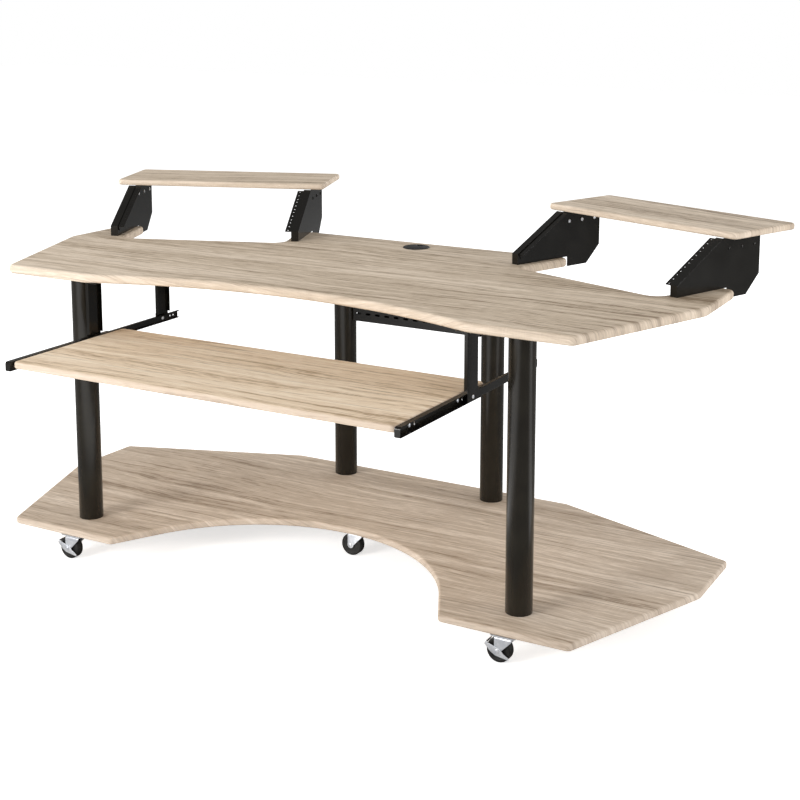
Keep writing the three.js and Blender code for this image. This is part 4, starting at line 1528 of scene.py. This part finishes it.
@dataclass
class KeyboardTray:
    """The tray board, its runners and the brackets that hang them."""

    palette: Palette
    screws: ScrewSet
    half_width: float = 0.501
    corner: float = 0.014
    edge: float = 0.0055
    sheet: float = 0.0015
    runner_edge: float = 0.0004
    bracket_edge: float = 0.0006
    # how deep a moving runner is, and how far the fixed one's front stands back behind its nose
    space: float = 0.0134
    recess: float = 0.0042
    # a runner's front end is within this of its first point
    front_end: float = 0.001
    nose_radius: float = 0.006
    nose_foot_steps: int = 6
    nose_head_steps: int = 8
    hair: float = 0.00005
    fixings: tuple[float, ...] = (0.057, 0.262)
    bracket_and_runner: float = 0.0035

    def build(self) -> None:
        """Builds the tray with its hardware."""
        low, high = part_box("tray_board")
        places = [(low.x, low.y), (high.x, low.y), (high.x, high.y), (low.x, high.y)]
        outline = rounded([(x, y, self.corner) for x, y in places])
        board = WrappedBoard("tray_wrapped", outline, low.z, high.z, self.edge)
        settle(board.build(self.palette.tray), "tray", Slot.TRAY, "tray_board")
        spots: list[tuple[Vector, Vector]] = []
        fixings: list[tuple[Vector, Vector]] = []
        for side in Side:
            self._runners(side)
            out = Vector((side.value, 0, 0))
            near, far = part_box(f"runner_moving_{side.word}")
            face, z = side.value * (self.half_width + self.sheet), (near.z + far.z) / 2
            fixings += [(Vector((face, near.y + along, z)), out) for along in self.fixings]
            for end in ("front", "rear"):
                spots += self._bracket(side, f"tray_bracket_{end}_{side.word}", z)
        settle(self.screws.place("bracket_screws", spots, self.palette.zinc), "desk", Slot.ZINC)
        settle(self.screws.place("tray_screws", fixings, self.palette.zinc), "tray", Slot.ZINC)

    def _runners(self, side: Side) -> None:
        """Builds one side's runners.

        Args:
            side: Which side.
        """
        node = f"runner_moving_{side.word}"
        settle(cad_copy(node, self.runner_edge, self.palette.black), "tray", Slot.BLACK, node)
        settle(self._nose(side), "tray", Slot.BLACK)
        node = f"runner_fixed_{side.word}"
        fixed = cad_copy(node, self.runner_edge, self.palette.black)
        front = min(vertex.co.y for vertex in fixed.data.vertices)
        for vertex in fixed.data.vertices:
            if vertex.co.y < front + self.front_end:
                vertex.co.y += self.recess
        settle(fixed, "desk", Slot.BLACK, node)

    def _bracket(self, side: Side, node: str, z: float) -> list[tuple[Vector, Vector]]:
        """Builds one bracket.

        Args:
            side: Which side it is on.
            node: Its CAD node.
            z: The height of its screws.

        Returns:
            Where its two screws sit and point.
        """
        settle(cad_copy(node, self.bracket_edge, self.palette.black), "desk", Slot.BLACK, node)
        low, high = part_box(node)
        y = (low.y + high.y) / 2
        outer = high.x if side is Side.RIGHT else low.x
        inner = outer - side.value * self.bracket_and_runner
        out = Vector((side.value, 0, 0))
        return [(Vector((outer, y, z)), out), (Vector((inner, y, z)), -out)]

    def _nose(self, side: Side) -> bpy.types.Object:
        """The rounded sheet that closes a moving runner's front end.

        Args:
            side: Which runner.

        Returns:
            The sheet.
        """
        near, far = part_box(f"runner_moving_{side.word}")
        y, low, high = near.y + self.hair, near.z + self.hair, far.z - self.hair
        s, r = self.sheet, self.nose_radius
        foot, head = (y + r / 2, low + r / 2), (y + r, high - r)
        outline = [
            *arc(foot, r / 2, 270, 180, self.nose_foot_steps), *arc(head, r, 180, 90, self.nose_head_steps),
            *arc(head, r - s, 90, 180, self.nose_head_steps),
            *arc(foot, r / 2 - s / 2, 180, 270, self.nose_foot_steps),
        ]
        start, end = sorted(side.value * x for x in (self.half_width + s, self.half_width + self.space))
        mesh = to_mesh(prism(outline, start, end, ALONG_X))
        return link(f"runner_nose_{side.word}", mesh, self.palette.black)


@dataclass
class Rack:
    """One sloping 19-inch rack: two folded plates, two perforated rails and a shelf."""

    side: Side
    plan: DeskPlan
    palette: Palette
    screws: ScrewSet
    perforation: Perforation
    unit: float = 0.04445
    units: int = 4
    # a unit's first hole as a share of the unit; the second is at its middle
    first_hole_share: float = 1 / 7
    holes: int = 3
    hole: float = 0.0022
    hole_line: float = 0.4651
    panel: float = 0.4826
    slope: float = math.radians(30)
    nose: float = 0.027
    margin: float = 0.002
    flange: float = 0.020
    sheet: float = 0.002
    gap: float = 0.0003
    rail_reach: float = 0.017
    rail_depth: float = 0.014
    rail_edge: float = 0.0003
    plate_depth: float = 0.293
    plate_edge: float = 0.0007
    screw_count: int = 3
    screw_pitch: float = 0.046
    screw_drop: float = 0.026
    shelf_width: float = 0.592
    shelf_depth: float = 0.228
    shelf_corner: float = 0.014
    shelf_edge: float = 0.0055

    @property
    def place(self) -> Matrix:
        """The rack's own frame: across, back and up."""
        spot = (self.side.value * self.plan.rack_x, self.plan.rack_y + self.plan.shift, 0.0)
        return Matrix.Translation(spot) @ Matrix.Rotation(-self.side.value * self.plan.toe, 4, "Z")

    @property
    def slope_length(self) -> float:
        """The length of the sloping front."""
        return self.unit * self.units + self.margin

    @property
    def half(self) -> float:
        """Half the clear width between the plates."""
        return (self.panel + self.margin) / 2

    def build(self) -> None:
        """Builds the rack in place of its CAD nodes."""
        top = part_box("desktop_board")[1].z
        for hand in ("left", "right"):
            node = f"{self.side.word}_rack_plate_{hand}"
            settle(cad_copy(node, self.plate_edge, self.palette.black), "desk", Slot.BLACK, node)
            self._rail(hand, top)
        self._shelf()
        self._screws(top)

    def _section(self, sign: int) -> list[Point]:
        """A rail's section, across the rack and behind its face.

        Args:
            sign: -1 for the left rail, 1 for the right one.

        Returns:
            The points of an angle, whose short wall lies along the plate.
        """
        if sign < 0:
            left = -self.half + self.gap
            right = left + self.rail_reach
            bend = left + self.sheet
        else:
            left = self.half - self.gap - self.rail_reach
            right = self.half + self.flange - self.sheet - self.gap
            bend = right - self.sheet
        face = self.sheet + self.gap
        depths = (face + self.rail_depth, face + self.sheet)
        at_right, at_left = depths if sign > 0 else reversed(depths)
        return [
            (left, face), (right, face), (right, at_right), (bend, at_right), (bend, at_left),
            (left, at_left),
        ]

    def _rail(self, hand: str, top: float) -> None:
        """Builds one rack rail with three holes to each rack unit.

        Args:
            hand: Left or right in the rack.
            top: The desktop's height.
        """
        sign = -1 if hand == "left" else 1
        start, end = self.margin, self.slope_length - self.margin
        c, s = math.cos(self.slope), math.sin(self.slope)
        # the rail's own axes: across the rack, behind the face, and along the slope
        axes = self.place @ Matrix(((1, 0, 0, 0), (0, s, c, 0), (0, -c, s, top + self.nose), (0, 0, 0, 1)))
        bm = soften(prism(self._section(sign), start, end, axes), self.rail_edge)
        body = link("rail_body", to_mesh(bm))
        aim = axes.to_3x3()
        into = Matrix(((1, 0, 0), (0, 0, 1), (0, -1, 0)))
        along = aim @ Vector((0, 0, 1))
        behind, up = self.gap + self.sheet * 3 / 2, self.margin / 2 + self.unit * self.first_hole_share
        values = {
            "Start": tuple(axes @ Vector((sign * self.hole_line / 2, behind, up))),
            "Hole Step": tuple(along * (self.unit * (0.5 - self.first_hole_share))),
            "Group Step": tuple(along * self.unit), "Holes": self.holes, "Groups": self.units,
            "Finish": self.palette.black,
        }
        circle = arc((0.0, 0.0), self.hole, 0, 360, HOLE_SIDES)[:-1]
        name = f"{self.side.word}_rail_{hand}_perforated"
        basis = (aim @ into).to_4x4()
        rail = self.perforation.cut(body, circle, CUTTER_SHEETS * self.sheet, basis, values, name)
        settle(rail, "desk", Slot.BLACK, f"{self.side.word}_rack_rail_{hand}")

    def _shelf(self) -> None:
        """Builds the shelf board."""
        node = f"{self.side.word}_rack_shelf"
        low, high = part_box(node)
        half, corner = self.shelf_width / 2, self.shelf_corner
        front = self.slope_length * math.cos(self.slope) + self.margin
        back = front + self.shelf_depth
        places = [(-half, front), (half, front), (half, back), (-half, back)]
        outline = rounded([(x, y, corner) for x, y in places])
        board = WrappedBoard(f"{node}_wrapped", outline, low.z, high.z, self.shelf_edge, place=self.place)
        settle(board.build(self.palette.shelves[self.side]), "desk", Slot.OAK, node)

    def _screws(self, top: float) -> None:
        """Sets the screws near the top of both plates.

        Args:
            top: The desktop's height.
        """
        z = top + self.nose + self.slope_length * math.sin(self.slope) - self.screw_drop
        backs = [self.plate_depth - self.flange - k * self.screw_pitch for k in range(self.screw_count)]
        aim = self.place.to_3x3() @ Vector((1, 0, 0))
        for word, across, material, slot in (
            ("bright", -self.half, self.palette.zinc, Slot.ZINC),
            ("dark", self.half + self.flange, self.palette.black, Slot.BLACK),
        ):
            spots = [(self.place @ Vector((across, back, z)), aim) for back in backs]
            name = f"{self.side.word}_rack_{word}_screws"
            settle(self.screws.place(name, spots, material), "desk", slot)


@dataclass
class Grommet:
    """The cable grommet: a flanged sleeve and a cap with a mouth for cables."""

    plan: DeskPlan
    palette: Palette
    flange: float = 0.035
    rise: float = 0.0024
    wall: float = 0.0022
    ledge: float = 0.0025
    clearance: float = 0.0003
    depth: float = 0.018
    lip: float = 0.0004
    ring_sides: int = 96
    flange_steps: int = 8
    cap_height: float = 0.003
    cap_edge: float = 0.0006
    cap_edge_steps: int = 3
    cap_steps: int = 90
    mouth_width: float = 0.016
    mouth_depth: float = 0.015
    mouth_steps: int = 18

    @property
    def place(self) -> Matrix:
        """The grommet's place in plan."""
        return Matrix.Translation((0.0, self.plan.grommet_y + self.plan.shift, 0.0))

    def build(self) -> None:
        """Builds ring and cap."""
        self._ring()
        self._cap()

    def _ring(self) -> None:
        """Turns the flanged sleeve with the ledge that carries the cap."""
        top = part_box("desktop_board")[1].z
        outer = self.plan.grommet_hole - self.clearance
        inner = outer - self.wall
        r, lip, ledge, foot = self.rise, self.lip, self.ledge, top - self.depth
        seat = top + r - self.cap_height
        profile = [
            (inner - ledge, seat - ledge), (inner, seat - 2 * ledge), (inner, foot), (outer, foot),
            (outer, top), *dome((self.flange - r, top), r, r, self.flange_steps), (inner + lip, top + r),
            (inner, top + r - lip), (inner, seat), (inner - ledge, seat),
        ]
        mesh = to_mesh(turned(profile, self.ring_sides), self.place)
        ring = link("grommet_ring_turned", mesh, self.palette.plastic)
        settle(ring, "desk", Slot.PLASTIC, "grommet_ring")

    def _cap(self) -> None:
        """Moulds the cap with its mouth."""
        low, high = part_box("grommet_cap")
        reach, mouth = (high.x - low.x) / 2, self.mouth_width / 2
        edge = math.degrees(math.asin(mouth / reach))
        rim = arc((0.0, 0.0), reach, 90 + edge, 450 - edge, self.cap_steps)
        notch = arc((0.0, reach - self.mouth_depth + mouth), mouth, 0, -180, self.mouth_steps)
        bm = prism([*rim, *notch], low.z, high.z, self.place)
        soften(bm, self.cap_edge, self.cap_edge_steps, FOLD_ANGLE)
        cap = link("grommet_cap_moulded", to_mesh(bm), self.palette.plastic)
        settle(cap, "grommet_lid", Slot.PLASTIC, "grommet_cap")


@dataclass
class Castor:
    """One swivel castor: bent fork, solid wheel, riveted axle and, in front, a brake lever."""

    name: str
    palette: Palette
    brake: bool
    wheel_radius: float = 0.028
    wheel_width: float = 0.022
    shoulder: float = 0.0035
    shoulder_steps: int = 8
    # the wheel's side from the hub out: radius, and height over the tyre's side
    web: tuple[Point, ...] = (
        (0.0034, 0.0011), (0.0075, 0.0011), (0.0082, 0.0006), (0.0086, -0.0016), (0.0180, -0.0016),
        (0.0190, -0.0014), (0.0196, -0.0003), (0.0202, 0.0),
    )
    wheel_sides: int = 64
    trail: float = 0.014
    eye: float = 0.008
    reach: float = 0.019
    sheet: float = 0.002
    sheet_edge: float = 0.0004
    sheet_edge_above: float = math.radians(50)
    top_gap: float = 0.0015
    bend: float = 0.004
    taper_end: float = 0.005
    # steps of the fork's strip: round its eye, up its cheek, round its bend and across
    eye_steps: int = 7
    cheek_steps: int = 8
    bend_steps: int = 6
    strip_steps: int = 8
    pin: float = 0.003
    rivet: float = 0.0055
    rivet_rise: float = 0.0016
    rivet_steps: int = 6
    rivet_sides: int = 28
    # the lever's outline and the ends of its ribs, as shares of its reach
    lever_shares: tuple[Point, ...] = (
        (0.89, -0.51), (0.91, -0.38), (0.43, -0.08), (0.23, 0.2), (-0.2, 0.31), (-0.72, 0.5), (-0.86, 0.62),
        (-1.0, 0.37), (-0.93, 0.3), (-0.56, -0.08), (-0.16, -0.33), (0.26, -0.41),
    )
    rib_shares: tuple[tuple[Point, Point], ...] = (
        ((-0.74, 0.34), (-0.26, 0.02)), ((0.34, -0.22), (0.78, -0.42)),
    )
    lever_gap: float = 0.0025
    lever_sheet: float = 0.0018
    lever_corner: float = 0.0016
    lever_step: float = math.radians(20)
    rib_step: float = math.radians(30)
    rib_half: float = 0.0011
    rib_corner_share: float = 0.9
    rib_rise: float = 0.0005
    rib_root: float = 0.0001
    rib_edge: float = 0.0002
    pedal_half: float = 0.0045
    pedal_inset: float = 0.0002
    pedal_turn: float = math.radians(152)

    @property
    def axle(self) -> Vector:
        """The axle's middle."""
        low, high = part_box(f"{self.name}_wheel")
        return (low + high) / 2

    @property
    def upright(self) -> Matrix:
        """Turns a profile's third axis to -Y and moves it to the axle."""
        return Matrix.Translation(self.axle) @ Matrix.Rotation(math.pi / 2, 4, "X")

    def build(self) -> None:
        """Builds the castor in place of its CAD nodes."""
        dress(f"{self.name}_plate", self.palette.zinc)
        self._fork()
        self._wheel()
        self._rivet()
        if self.brake:
            self._lever()

    def _stations(self) -> list[tuple[float, float, float, float]]:
        """The middle of the fork's sheet, from one eye over the crown to the other.

        Returns:
            For each station: its place across the castor, its height, and its rear and front ends.
        """
        half = self.wheel_width / 2 + self.top_gap + self.sheet / 2
        crown = 2 * self.wheel_radius + self.top_gap + self.sheet / 2
        hub, eye, bend = self.wheel_radius, self.eye, self.bend
        back, front = -self.trail - eye, self.reach
        stations: list[tuple[float, float, float, float]] = []
        for k in range(1, self.eye_steps):
            a = math.pi / 2 * k / self.eye_steps
            wide = eye * math.sin(a)
            stations.append((-half, hub - eye * math.cos(a), -self.trail - wide, -self.trail + wide))
        for k in range(self.cheek_steps + 1):
            z = hub + (crown - bend - hub) * k / self.cheek_steps
            share = min(1.0, (z - hub) / (crown - self.taper_end - hub))
            stations.append((-half, z, back, -self.trail + eye + (front + self.trail - eye) * share))
        for k in range(1, self.bend_steps + 1):
            a = math.pi / 2 * k / self.bend_steps
            y, z = -half + bend * (1 - math.cos(a)), crown - bend * (1 - math.sin(a))
            stations.append((y, z, back, front))
        return stations + [(-y, z, x0, x1) for y, z, x0, x1 in reversed(stations)]

    def _fork(self) -> None:
        """Bends the fork from a tapering strip."""
        bm = bmesh.new()
        steps = self.strip_steps
        rows = [
            [bm.verts.new((x0 + (x1 - x0) * c / steps, y, z)) for c in range(steps + 1)]
            for y, z, x0, x1 in self._stations()
        ]
        for first, second in zip(rows, rows[1:]):
            for c in range(steps):
                bm.faces.new((first[c], second[c], second[c + 1], first[c + 1]))
        bmesh.ops.recalc_face_normals(bm, faces=bm.faces)
        centre = self.axle
        place = Matrix.Translation((centre.x + self.trail, centre.y, 0.0))
        fork = link(f"{self.name}_fork_bent", to_mesh(bm, place), self.palette.zinc)
        thick = fork.modifiers.new("sheet", "SOLIDIFY")
        thick.thickness, thick.offset, thick.use_even_offset = self.sheet, 0.0, True
        edges = fork.modifiers.new("edges", "BEVEL")
        edges.width, edges.segments, edges.limit_method = self.sheet_edge, 2, "ANGLE"
        edges.angle_limit = self.sheet_edge_above
        settle(fork, f"{self.name}_swivel", Slot.ZINC, f"{self.name}_fork")

    def _wheel(self) -> None:
        """Turns the wheel: tyre with round shoulders, dished web and hub."""
        r, half, shoulder = self.wheel_radius, self.wheel_width / 2, self.shoulder
        tread = arc((r - shoulder, -half + shoulder), shoulder, -90, 0, self.shoulder_steps)
        lower = [*((radius, -half - rise) for radius, rise in self.web), *tread]
        profile = [*lower, *((radius, -z) for radius, z in reversed(lower))]
        mesh = to_mesh(turned(profile, self.wheel_sides), self.upright)
        wheel = link(f"{self.name}_wheel_turned", mesh, self.palette.rubber)
        settle(wheel, f"{self.name}_roll", Slot.RUBBER, f"{self.name}_wheel")

    def _rivet(self) -> None:
        """Turns the axle rivet with domed ends."""
        low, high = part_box(f"{self.name}_axle")
        # heights run towards -Y once the profile is upright
        bottom = self.axle.y - high.y + self.rivet_rise
        top = self.axle.y - low.y - self.rivet_rise
        crown = dome((0.0, 0.0), self.rivet, self.rivet_rise, self.rivet_steps)
        profile = [
            *((radius, bottom - z) for radius, z in reversed(crown)), (self.pin, bottom), (self.pin, top),
            *((radius, top + z) for radius, z in crown),
        ]
        mesh = to_mesh(turned(profile, self.rivet_sides, closed=False), self.upright)
        axle = link(f"{self.name}_axle_rivet", mesh, self.palette.zinc)
        settle(axle, f"{self.name}_swivel", Slot.ZINC, f"{self.name}_axle")

    def _rib(self, start: Vector, end: Vector, face: float) -> bmesh.types.BMesh:
        """Presses one rib of the lever.

        Args:
            start: One end of its middle line.
            end: The other end.
            face: The lever's outer face.

        Returns:
            A bmesh.
        """
        along = (end - start).normalized()
        across = Vector((-along.y, along.x)) * self.rib_half
        ring = [start - across, end - across, end + across, start + across]
        corner = self.rib_half * self.rib_corner_share
        outline = rounded([(p.x, p.y, corner) for p in ring], self.rib_step)
        bm = prism(outline, face - self.rib_rise, face + self.rib_root)
        return soften(bm, self.rib_edge, 1, FOLD_ANGLE)

    def _lever(self) -> None:
        """Cuts the brake lever, presses its ribs and bends its pedal across the tread."""
        low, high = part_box(f"{self.name}_brake")
        reach, sheet, half = self.wheel_radius + self.lever_gap, self.lever_sheet, self.pedal_half
        face, far = low.y - self.axle.y, high.y - self.axle.y
        places = [(x * reach, z * reach, self.lever_corner) for x, z in self.lever_shares]
        outline = rounded(places, self.lever_step)
        bm = soften(prism(outline, face, face + sheet), self.sheet_edge, above=FOLD_ANGLE)
        for start, end in self.rib_shares:
            absorb(bm, self._rib(Vector(start) * reach, Vector(end) * reach, face))
        pedal = [(reach, -half), (reach + sheet, -half), (reach + sheet, half), (reach, half)]
        bent = prism(pedal, face + self.pedal_inset, far, Matrix.Rotation(self.pedal_turn, 4, "Z"))
        absorb(bm, soften(bent, self.sheet_edge, above=FOLD_ANGLE))
        mesh = to_mesh(bm, Matrix.Translation(self.axle) @ ALONG_Y)
        # ALONG_Y mirrors the lever, which turns its faces inwards
        mesh.flip_normals()
        lever = link(f"{self.name}_brake_pressed", mesh, self.palette.zinc)
        settle(lever, f"{self.name}_lever", Slot.ZINC, f"{self.name}_brake")


# The studio


@dataclass(frozen=True)
class Lamp:
    """A rectangular lamp, where it stands and what it points at."""

    name: str
    place: Place
    target: Place
    wide: float
    tall: float
    power: float

    def build(self) -> None:
        """Puts the lamp in the scene, unseen by the camera."""
        data = bpy.data.lights.new(self.name, "AREA")
        data.shape, data.size, data.size_y, data.energy = "RECTANGLE", self.wide, self.tall, self.power
        lamp = bpy.data.objects.new(self.name, data)
        bpy.context.scene.collection.objects.link(lamp)
        lamp.visible_camera = False
        lamp.location = self.place
        lamp.rotation_euler = (Vector(self.target) - Vector(self.place)).to_track_quat("-Z", "Y").to_euler()


@dataclass
class Studio:
    """Pale floor, soft light and the camera.

    The key lamp stands in front; low lamps stand on the right, on the left and at the rear. The floor's
    cards are wedges that only the gloss sees, each with its middle's bearing and half its width in degrees.
    """

    place: Place = (1.9785, -3.1950, 1.4727)
    yaw: float = 29.948
    pitch: float = 10.037
    lens: float = 70.93
    shift: Point = (0.0054, -0.2)
    sensor: float = 36.0
    clip: Point = (0.05, 100.0)
    lamps: tuple[Lamp, ...] = (
        Lamp("key", (-1.9, -4.5, 1.8), (0.0, 0.0, 0.4), 1.9, 2.0, 180.0),
        Lamp("fill", (4.7, 0.9, 1.4), (0.2, 0.0, 0.4), 0.8, 2.6, 85.0),
        Lamp("left", (-4.6, 0.4, 1.9), (0.0, 0.0, 0.3), 2.6, 1.8, 60.0),
        Lamp("rear", (0.4, 4.6, 2.1), (0.0, 0.0, 0.3), 4.0, 1.8, 45.0),
    )
    floor_half: float = 14.0
    floor_cells: int = 24
    floor_noise: Noise = Noise(1.5, 1.5, 3)
    floor_colours: tuple[Colour, Colour] = (srgb(240, 240, 240), srgb(244, 244, 244))
    floor_in_gloss: Colour = srgb(150, 150, 150)
    floor_roughness: float = 0.9
    floor_lift: float = 0.66
    cards: tuple[Point, ...] = ((-100.0, 38.0), (3.0, 14.0))
    card_core_share: float = 0.35
    card_glow: float = 1.5
    air: float = 0.54
    air_in_gloss: float = 0.28

    def build(self) -> None:
        """Builds the studio round the desk."""
        self._floor()
        self._world()
        for lamp in self.lamps:
            lamp.build()
        self._camera()

    def _floor(self) -> None:
        """A wide pale floor that keeps the desk's shadow."""
        bm = bmesh.new()
        cells = self.floor_cells
        bmesh.ops.create_grid(bm, x_segments=cells, y_segments=cells, size=self.floor_half)
        material, graph, shader = start_material("studio_paper")
        floor = link("studio_floor", to_mesh(bm), material)
        where = graph.add("ShaderNodeTexCoord").outputs["Object"]
        path = graph.add("ShaderNodeLightPath").outputs
        tone = graph.blend(graph.noise(where, self.floor_noise), *self.floor_colours)
        graph.put(shader.inputs["Base Color"], graph.blend(path["Is Glossy Ray"], tone, self.floor_in_gloss))
        shader.inputs["Roughness"].default_value = self.floor_roughness
        shader.inputs["Specular IOR Level"].default_value = 0.0
        cards = graph.math("ADD", *(self._card(graph, where, *card) for card in self.cards))
        shine = graph.math("MULTIPLY", graph.math("MULTIPLY", path["Is Glossy Ray"], cards), self.card_glow)
        lift = graph.math("ADD", graph.math("MULTIPLY", path["Is Camera Ray"], self.floor_lift), shine)
        glow = graph.add("ShaderNodeEmission", {"Color": (1, 1, 1, 1), "Strength": lift})
        both = graph.add("ShaderNodeAddShader", {0: shader.outputs[0], 1: glow.outputs[0]})
        graph.put(material.node_tree.nodes["Material Output"].inputs["Surface"], both.outputs[0])

    def _card(self, graph: Graph, where: Any, bearing: float, half: float) -> bpy.types.NodeSocket:
        """A bright wedge of the floor, for the gloss on the tubes.

        Args:
            graph: The floor's graph.
            where: The place on the floor.
            bearing: The wedge's middle in degrees round the desk.
            half: Half its width in degrees.

        Returns:
            A mask of the wedge.
        """
        place = graph.add("ShaderNodeSeparateXYZ", {0: where}).outputs
        angle = graph.math("ARCTAN2", place["Y"], place["X"])
        off = graph.math("ABSOLUTE", graph.math("SUBTRACT", angle, math.radians(bearing)))
        return graph.spread(off, (math.radians(half * self.card_core_share), math.radians(half)), (1.0, 0.0))

    def _world(self) -> None:
        """Even light from all round, plain white where it is seen."""
        world = bpy.data.worlds.new("studio_air")
        bpy.context.scene.world = world
        world.use_nodes = True
        graph = Graph(world.node_tree)
        air = world.node_tree.nodes["Background"]
        air.inputs["Color"].default_value = (1.0, 1.0, 1.0, 1.0)
        path = graph.add("ShaderNodeLightPath").outputs
        seen = graph.math("ADD", path["Is Camera Ray"], path["Is Transmission Ray"], clamp=True)
        lit = graph.math("ADD", graph.math("MULTIPLY", seen, 1 - self.air), self.air)
        mirrored = graph.math("MULTIPLY", path["Is Glossy Ray"], self.air - self.air_in_gloss)
        graph.put(air.inputs["Strength"], graph.math("SUBTRACT", lit, mirrored))

    def _camera(self) -> None:
        """The photograph's viewing angle."""
        data = bpy.data.cameras.new("camera")
        camera = bpy.data.objects.new("camera", data)
        bpy.context.scene.collection.objects.link(camera)
        data.sensor_width, data.sensor_height, data.sensor_fit = self.sensor, self.sensor, "HORIZONTAL"
        data.lens = self.lens
        data.shift_x, data.shift_y = self.shift
        data.clip_start, data.clip_end = self.clip
        camera.location = self.place
        camera.rotation_euler = (math.radians(90 - self.pitch), 0.0, math.radians(self.yaw))
        bpy.context.scene.camera = camera


def main() -> None:
    """Builds the dressed desk over its frame."""
    logging.basicConfig(level=logging.INFO, format="%(name)s %(message)s")
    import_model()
    bpy.context.scene.view_settings.view_transform = "Standard"
    plan = DeskPlan(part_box("desktop_board")[0].y - DeskPlan.front_y)
    palette, perforation, screws = Palette(), Perforation(), ScrewSet()
    Boards(plan, palette).build()
    Legs(palette).build()
    Crossbar(palette, perforation).build()
    KeyboardTray(palette, screws).build()
    for side in Side:
        Rack(side, plan, palette, screws, perforation).build()
    Grommet(plan, palette).build()
    for spot in ("front_left", "front_right", "middle", "rear_left", "rear_right"):
        Castor(f"caster_{spot}", palette, spot.startswith("front")).build()
    Studio().build()


if __name__ == "__main__":
    main()
